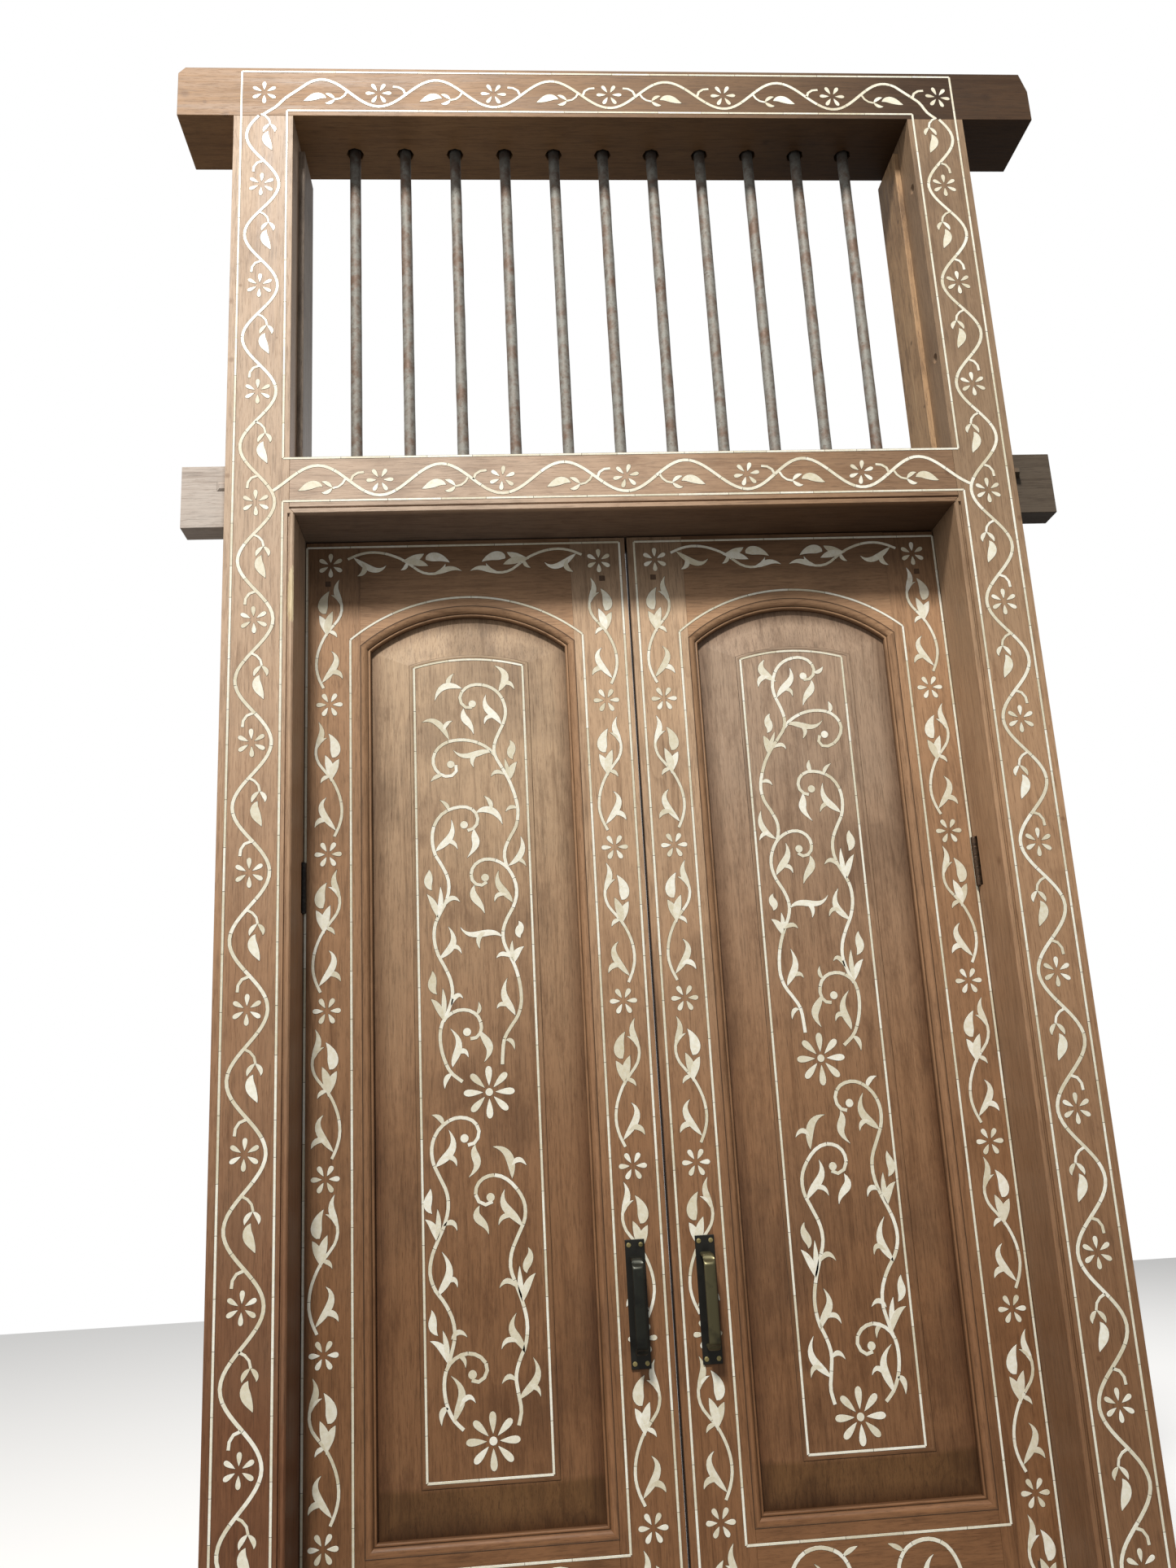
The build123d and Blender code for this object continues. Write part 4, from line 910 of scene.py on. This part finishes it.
lower_leaves = [
    ([(101, 292), (98, 262), (64, 257)], 17), ([(205, 358), (185, 400), (240, 410), (180, 461)], 27),
    ([(74, 422), (98, 395), (160, 375), (119, 307)], 27), ([(100, 396), (138, 386), (142, 424)], 16),
    ([(57, 567), (28, 540), (54, 520), (54, 489)], 27), ([(69, 652), (70, 605), (34, 584)], 23),
    ([(69, 652), (82, 600), (75, 554)], 18), ([(92, 608), (128, 580), (137, 624)], 17),
    ([(68, 820), (92, 780), (135, 755), (86, 686)], 26), ([(92, 786), (128, 752), (133, 796)], 16),
    ([(66, 936), (36, 908), (60, 890), (48, 859)], 27), ([(94, 1018), (88, 965), (41, 951)], 23),
    ([(94, 1018), (96, 965), (82, 922)], 18), ([(108, 950), (132, 912), (159, 946)], 16),
    ([(128, 1003), (152, 1000), (151, 1036)], 14),
    ([(112, 1190), (118, 1150), (170, 1110), (104, 1056)], 26),
    ([(128, 1150), (158, 1098), (179, 1139)], 16), ([(94, 1150), (66, 1148), (71, 1198)], 19),
    ([(322, 472), (325, 420), (320, 375), (262, 368)], 27), ([(322, 432), (345, 395), (371, 433)], 17),
    ([(212, 550), (180, 600), (232, 590), (239, 641)], 27),
    ([(349, 624), (325, 575), (268, 565), (296, 504)], 27), ([(322, 592), (284, 575), (272, 614)], 16),
    ([(358, 766), (344, 738), (386, 722), (365, 688)], 27), ([(341, 852), (352, 795), (385, 768)], 23),
    ([(341, 852), (332, 800), (335, 743)], 18), ([(322, 808), (294, 765), (267, 806)], 17),
    ([(340, 1004), (330, 950), (275, 945), (318, 884)], 26), ([(322, 972), (282, 945), (267, 988)], 16),
    ([(308, 1084), (288, 1054), (264, 1089)], 16),
    ([(318, 1138), (345, 1105), (408, 1085), (366, 1018)], 25),
    ([(342, 1112), (378, 1090), (385, 1134)], 16),
]
inner_stems = [curve(upper(points)) for points in upper_stems[:3]]
outer_stems = [curve(upper(points)) for points in upper_stems[3:]]


def nearer(point, lines):
    """The distance from a point to the nearest of several lines."""
    return min(np.linalg.norm(line - point, axis=1).min() for line in lines)


inner, outer = [], []
for number, line in enumerate(inner_stems):
    inner += stem(line, vine_half, 400 + number, length=vine_length)
for number, line in enumerate(outer_stems):
    outer += stem(line, vine_half, 403 + number, length=vine_length)
for points, wide in upper_leaves:
    leaf = blade(upper(points), wide * drawing_scale, full=0.45)
    (outer if nearer(leaf[0][0], outer_stems) < nearer(leaf[0][0], inner_stems) else inner).append(leaf)
for number, place in enumerate(upper_beads):
    (inner if number < 3 else outer).append(bead(upper([place])[0], bead_radius))
for number, points in enumerate(lower_stems):
    inner += stem(curve(lower(points)), vine_half, 420 + number, length=vine_length)
inner += [blade(lower(points), wide * drawing_scale, full=0.45) for points, wide in lower_leaves]
inner += [bead(lower([place])[0], bead_radius) for place in lower_beads]
for centre in ((-0.2600, 1.3325), (-0.2688, 0.8510)):
    inner += petals(centre, 8, 0.0095, 0.0388, 0.0064, 0.0)
    inner.append(bead(centre, 0.0058))
left_own = [blade(upper(points), wide * drawing_scale, full=0.45) for points, wide in left_leaves]
laid("field_vine_left", inner + outer + left_own, field_face, "leaf_left", ("inlay_leaf_left",), seed=60)

# The right leaf is the mirror image set out again by hand: its upper group stands higher, the outer
# vine most, its drawing is a little narrower, and the head of the inner vine leans to the hinges.
narrowed = 0.970
lift_heights = (0.851, 1.3325, 1.45, 1.70, 1.80, 1.90, 1.99)
inner_lift = (-0.004, 0.0245, 0.0250, 0.0270, 0.0290, 0.0320, 0.0320)
outer_lift = (-0.004, 0.0245, 0.0300, 0.0390, 0.0390, 0.0370, 0.0300)
lean_heights = (1.76, 1.81, 1.86, 1.95, 1.99)
head_lean = (0.0, 0.004, 0.0150, 0.0225, 0.0235)
mirrored = [blade(points, wide, full=0.45) for points, wide in right_leaves]
for laths, lift, leaning in ((inner, inner_lift, 1.0), (outer, outer_lift, 0.0)):
    for path, half in laths:
        x, z = path[:, 0], path[:, 1]
        across = field_sides["right"][0] + (field_sides["left"][1] - x) * narrowed
        across += leaning * np.interp(z, lean_heights, head_lean)
        mirrored.append((np.stack([across, z + np.interp(z, lift_heights, lift)], axis=1), half))
laid("field_vine_right", mirrored, field_face, "leaf_right", ("inlay_leaf_right",), seed=61)

# Scrolls of the lock rail
# Under the panel two mirrored scrolls of the same bone stem spread from the rail's middle, each with
# a leaf inside its turn and a spur on its back. Their places and widths are in millimetres.
rail_middle = 0.262
scroll_stem = [(8, 572), (38, 566), (82, 574), (115, 602), (124, 640), (108, 674), (79, 686), (48, 676),
               (34, 650), (42, 622), (64, 612), (78, 624)]
scroll_leaves = [([(104, 606), (70, 600), (62, 650), (86, 666)], 11.0),
                 ([(44, 673), (34, 680), (22, 684)], 6.5), ([(30, 567), (40, 590), (58, 592)], 6.0),
                 ([(60, 568), (70, 548), (92, 552)], 6.5), ([(8, 572), (6, 600), (0, 622)], 9.0)]
scrolls = stem(curve(np.array(scroll_stem) * 0.001), vine_half, 501, length=vine_length)
scrolls += [blade(np.array(points) * 0.001, wide * 0.001, full=0.45) for points, wide in scroll_leaves]
scrolls.append(bead((0.0700, 0.6335), bead_radius))
for side, s in (("left", -1), ("right", 1)):
    laths = [(np.stack([s * rail_middle + way * path[:, 0], path[:, 1]], axis=1), half)
             for way in (-1, 1) for path, half in scrolls]
    laid("rail_scrolls_" + side, laths, leaf_face, "leaf_" + side, seed=64)

# Hinges
# Black iron butt hinges, two to a leaf, let into the jamb and the edge of the stile, with a knuckle of
# five turns round a pin. The right leaf's carry the wood's brown stain.
hinge_tones = {"left": ((0.012, 0.011, 0.011), (0.040, 0.034, 0.030), (0.10, 0.055, 0.03)),
               "right": ((0.030, 0.018, 0.010), (0.085, 0.048, 0.026), (0.13, 0.075, 0.042))}
pivot_across, pivot_deep = 0.53925, 0.025
knuckle_girth, knuckle_groove, turns = 0.00505, 0.0006, 5
hinge_reach = 0.0408
knuckle_rings, knuckle_sides = 121, 28


def ironed(name, dark, middle, worn):
    """Black iron: a scale noise picks dark, middle or worn metal and gives the bump."""
    made, tree, place, shader = begun(name)
    scale = noise(tree, place, 260.0, 6.0, 0.7)
    shader.inputs["Metallic"].default_value = 0.6
    shader.inputs["Roughness"].default_value = 0.5
    surfaced(tree, shader, ramp(tree, scale, ((0.38, dark), (0.62, middle), (0.8, worn))), scale, 0.4, 0.0003)
    return made


def grooved(across, height):
    """The turned knuckle as rings up its height: its girth dips by a bell curve to a groove between the
    turns, and closes at both ends by the root of one minus the 60th power of the height."""
    up = np.linspace(-1.0, 1.0, knuckle_rings)
    near = (up * 0.5 * turns + 0.5 * (turns % 2)) % 1.0
    near = np.minimum(near, 1.0 - near) * 2.0 * hinge_reach / turns
    girth = knuckle_girth - knuckle_groove * np.exp(-(near / 0.00045)**2)
    girth = girth * np.sqrt(np.clip(1.0 - np.abs(up)**60, 0.0, 1.0))
    turn = np.linspace(0.0, 2.0 * np.pi, knuckle_sides, endpoint=False)
    x = across + girth[:, None] * np.cos(turn)
    y = pivot_deep + girth[:, None] * np.sin(turn)
    z = height + up[:, None] * hinge_reach + 0.0 * turn
    mesh = meshed("knuckle", np.stack([x, y, z], axis=-1), rod(knuckle_rings, knuckle_sides)[:-2])
    closed = bmesh.new()
    closed.from_mesh(mesh)
    bmesh.ops.remove_doubles(closed, verts=closed.verts[:], dist=0.000002)
    closed.to_mesh(mesh)
    closed.free()
    mesh.shade_smooth()
    return mesh


for side, s in (("left", -1), ("right", 1)):
    iron = ironed("hinge iron " + side, *hinge_tones[side])
    for level, height in (("lower", 0.593), ("upper", 1.655)):
        for part in ("frame_plate", "leaf_plate"):
            node = solids[f"hinge_{part}_{level}_{side}"]
            node.data.materials.clear()
            node.data.materials.append(iron)
        mesh = grooved(s * pivot_across, height)
        knuckle = dressed(mesh, f"hinge_knuckle_{level}_{side}", iron, "frame", f"hinge_pin_{level}_{side}")

# Pull handles
# Cast pulls on long plates: a flat strap bent out at both ends, with its long edges rounded, held by
# four slotted brass screws. The left one has gone nearly black-green, the right one olive.
grip_middle, grip_plate = 1.022, 0.027
grip_half_span, grip_bend = 0.066, 0.012
grip_reach, grip_wide, grip_thick = 0.036, 0.017, 0.006
grip_sides = 28
screw_radius, screw_rise, slot_deep = 0.0034, 0.0012, 0.0007
plate_screws = ((-0.009, 0.081), (0.009, 0.081), (-0.009, -0.081), (0.009, -0.081))


def brassed(name, deep, middle, bright):
    """Old brass: a tarnish noise picks deep, middle or bright metal, and the bright is the smoother."""
    made, tree, place, shader = begun(name)
    tarnish = noise(tree, place, 24.0, 6.0)
    colour = ramp(tree, tarnish, ((0.28, deep), (0.44, middle), (0.60, middle), (0.80, bright)))
    shader.inputs["Metallic"].default_value = 0.75
    tree.links.new(ramp(tree, tarnish, ((0.3, 0.48), (0.7, 0.30))), shader.inputs["Roughness"])
    surfaced(tree, shader, colour, tarnish, 0.12, 0.0003)
    return made


def strap(centre):
    """The grip: a superellipse section, grip_wide by grip_thick, carried along a line that leaves the
    plate, turns a quarter circle, runs straight and turns back. It stands in the plane across the plate."""
    quarter = np.linspace(0.0, 0.5 * np.pi, 10)
    shank = grip_reach - grip_bend - grip_thick / 2
    foot = np.linspace(0.0, 1.0, 4)[:-1] * shank
    out = np.concatenate([foot, shank + grip_bend * np.sin(quarter)])
    end = grip_half_span - grip_thick / 2
    rise = np.concatenate([np.full(3, end), end - grip_bend + grip_bend * np.cos(quarter)])
    out, rise = np.concatenate([out, out[::-1]]), np.concatenate([rise, -rise[::-1]])
    step = np.stack([np.gradient(out), np.gradient(rise)], axis=1)
    step /= np.linalg.norm(step, axis=1, keepdims=True)
    turn = np.linspace(0.0, 2.0 * np.pi, grip_sides, endpoint=False)
    wide = grip_wide / 2 * np.sign(np.cos(turn)) * np.abs(np.cos(turn))**0.55
    thick = grip_thick / 2 * np.sign(np.sin(turn)) * np.abs(np.sin(turn))**0.75
    x = centre + np.broadcast_to(wide, (len(out), grip_sides))
    y = grip_plate - (out[:, None] + step[:, 1:2] * -thick)
    z = grip_middle + rise[:, None] + step[:, 0:1] * -thick
    return meshed("grip", np.stack([x, y, z], axis=-1), rod(len(out), grip_sides, turned=True), crease=60.0)


def slotted(centre, high, turned):
    """A screw head: a dome over lines laid across a disc, dropped by the slot's depth near its middle."""
    half = np.array([0.16, 0.17, 0.35, 0.6, 0.85, 0.97, 1.0])
    u = np.concatenate([-half[::-1], half])[:, None]
    v = np.sin(np.linspace(-0.5 * np.pi, 0.5 * np.pi, 13))[None, :] * np.sqrt(1.0 - u**2)
    dome = screw_rise * np.sqrt(np.clip(1.0 - 0.75 * (u**2 + v**2), 0.0, 1.0))
    dome = np.where(np.abs(u) < 0.165, dome - slot_deep, dome)
    dome = np.where(u**2 + v**2 > 0.999, 0.0, dome)
    a, b = u + 0.0 * v, v + 0.0 * u
    x = centre + screw_radius * (a * np.cos(turned) - b * np.sin(turned))
    z = high + screw_radius * (a * np.sin(turned) + b * np.cos(turned))
    low = np.arange(13)[:, None] * 13 + np.arange(12)[None, :]
    faces = np.stack([low, low + 13, low + 14, low + 1], axis=-1).reshape(-1, 4)
    return np.stack([x, grip_plate - dome, z], axis=-1).reshape(-1, 3), faces


screw_brass = brassed("screw brass", (0.10, 0.085, 0.035), (0.36, 0.30, 0.13), (0.62, 0.54, 0.28))
plate_tones = ((0.010, 0.010, 0.009), (0.030, 0.029, 0.025), (0.07, 0.068, 0.055))
grip_tones = {"left": ((0.008, 0.008, 0.008), (0.028, 0.029, 0.023), (0.062, 0.065, 0.050)),
              "right": ((0.018, 0.017, 0.012), (0.105, 0.093, 0.048), (0.19, 0.165, 0.085))}
handle_across, plate_ease = 0.0523, 0.0007
for side, s in (("left", -1), ("right", 1)):
    body, middle = "leaf_" + side, s * handle_across
    plate = eased("handle_plate_" + side, plate_ease, brassed("plate brass " + side, *plate_tones), body)
    grip_brass = brassed("grip brass " + side, *grip_tones[side])
    grip = dressed(strap(middle), "grip_" + side, grip_brass, body, "handle_grip_" + side)
    heads = [slotted(middle + x, grip_middle + z, 0.6 + 1.9 * number + s)
             for number, (x, z) in enumerate(plate_screws)]
    faces = np.concatenate([grid + len(points) * number for number, (points, grid) in enumerate(heads)])
    mesh = meshed("screws", np.concatenate([points for points, grid in heads]), faces.tolist())
    screws = dressed(mesh, "plate_screws_" + side, screw_brass, body, "handle_screws_" + side)

# Floor, light and camera
# A plain pale floor, one broad lamp high in front, a weaker one from the left, one behind, and a white
# surround that only the camera sees.
corners = 6.0 * np.array([(-1.0, -1.0, 0.0), (1.0, -1.0, 0.0), (1.0, 1.0, 0.0), (-1.0, 1.0, 0.0)])
mesh = meshed("floor", corners, [(0, 1, 2, 3)])
floor_paint = bpy.data.materials.new("pale floor")
floor_paint.use_nodes = True
tree = floor_paint.node_tree
viewed = added(tree, "LightPath").outputs["Is Camera Ray"]
tree.links.new(ramp(tree, viewed, ((0.0, (0.22, 0.21, 0.20)), (1.0, (0.95, 0.945, 0.935)))),
               tree.nodes["Principled BSDF"].inputs["Base Color"])
tree.nodes["Principled BSDF"].inputs["Roughness"].default_value = 0.85
mesh.materials.append(floor_paint)
floor = bpy.data.objects.new("floor", mesh)
bpy.context.scene.collection.objects.link(floor)

world = bpy.data.worlds.new("surround")
bpy.context.scene.world = world
world.use_nodes = True
tree = world.node_tree
tree.nodes.clear()
seen = added(tree, "LightPath")
either = reckoned(tree, "MAXIMUM", seen.outputs["Is Camera Ray"], seen.outputs["Is Transmission Ray"])
dim = added(tree, "Background", Color=(0.95, 0.97, 1.0, 1.0), Strength=0.34)
white = added(tree, "Background", Color=(1.0, 1.0, 1.0, 1.0), Strength=1.0)
both = added(tree, "MixShader", i0=either, i1=dim.outputs[0], i2=white.outputs[0])
tree.links.new(both.outputs[0], added(tree, "OutputWorld").inputs["Surface"])


def stood(name, data, across, top, back, place):
    """An object that stands at a place with its own axes along three directions."""
    held = bpy.data.objects.new(name, data)
    bpy.context.scene.collection.objects.link(held)
    rows = [[across[i], top[i], back[i], place[i]] for i in range(3)]
    held.matrix_world = Matrix(rows + [[0.0, 0.0, 0.0, 1.0]])
    return held


def lamp(name, place, target, size, power, colour):
    """An area lamp at a place, turned to a target."""
    light = bpy.data.lights.new(name, "AREA")
    light.size = size
    light.energy = power
    light.color = colour
    away = np.array(place, float) - np.array(target, float)
    away /= np.linalg.norm(away)
    right = np.cross((0.0, 0.0, 1.0), away)
    right /= np.linalg.norm(right)
    stood(name, light, right, np.cross(away, right), away, place)


lamp("high lamp", (-1.35, -4.65, 7.9), (0.0, 0.0, 1.9), 1.0, 930.0, (1.0, 0.97, 0.92))
lamp("side lamp", (-4.2, -2.6, 3.0), (0.0, 0.0, 2.0), 2.2, 60.0, (1.0, 0.98, 0.96))
lamp("back lamp", (2.5, 4.5, 4.0), (0.0, 0.0, 1.6), 2.0, 70.0, (1.0, 1.0, 1.0))

pitch, yaw, roll = 0.23810, -0.07340, -0.05192
turn_z = np.array([[np.cos(yaw), -np.sin(yaw), 0.0], [np.sin(yaw), np.cos(yaw), 0.0], [0.0, 0.0, 1.0]])
turn_x = np.array([[1.0, 0.0, 0.0], [0.0, np.cos(pitch), -np.sin(pitch)],
                   [0.0, np.sin(pitch), np.cos(pitch)]])
right, ahead, upward = (turn_z @ turn_x).T
across = np.cos(roll) * right + np.sin(roll) * upward
top = -np.sin(roll) * right + np.cos(roll) * upward
eye = (-0.2218, -1.8205, 1.3573)
lens = bpy.data.cameras.new("camera")
lens.sensor_fit = "VERTICAL"
lens.sensor_height = 36.0
lens.sensor_width = 27.0
lens.lens = 27.035
bpy.context.scene.camera = stood("camera", lens, across, top, -ahead, eye)

bpy.context.scene.view_settings.view_transform = "Standard"
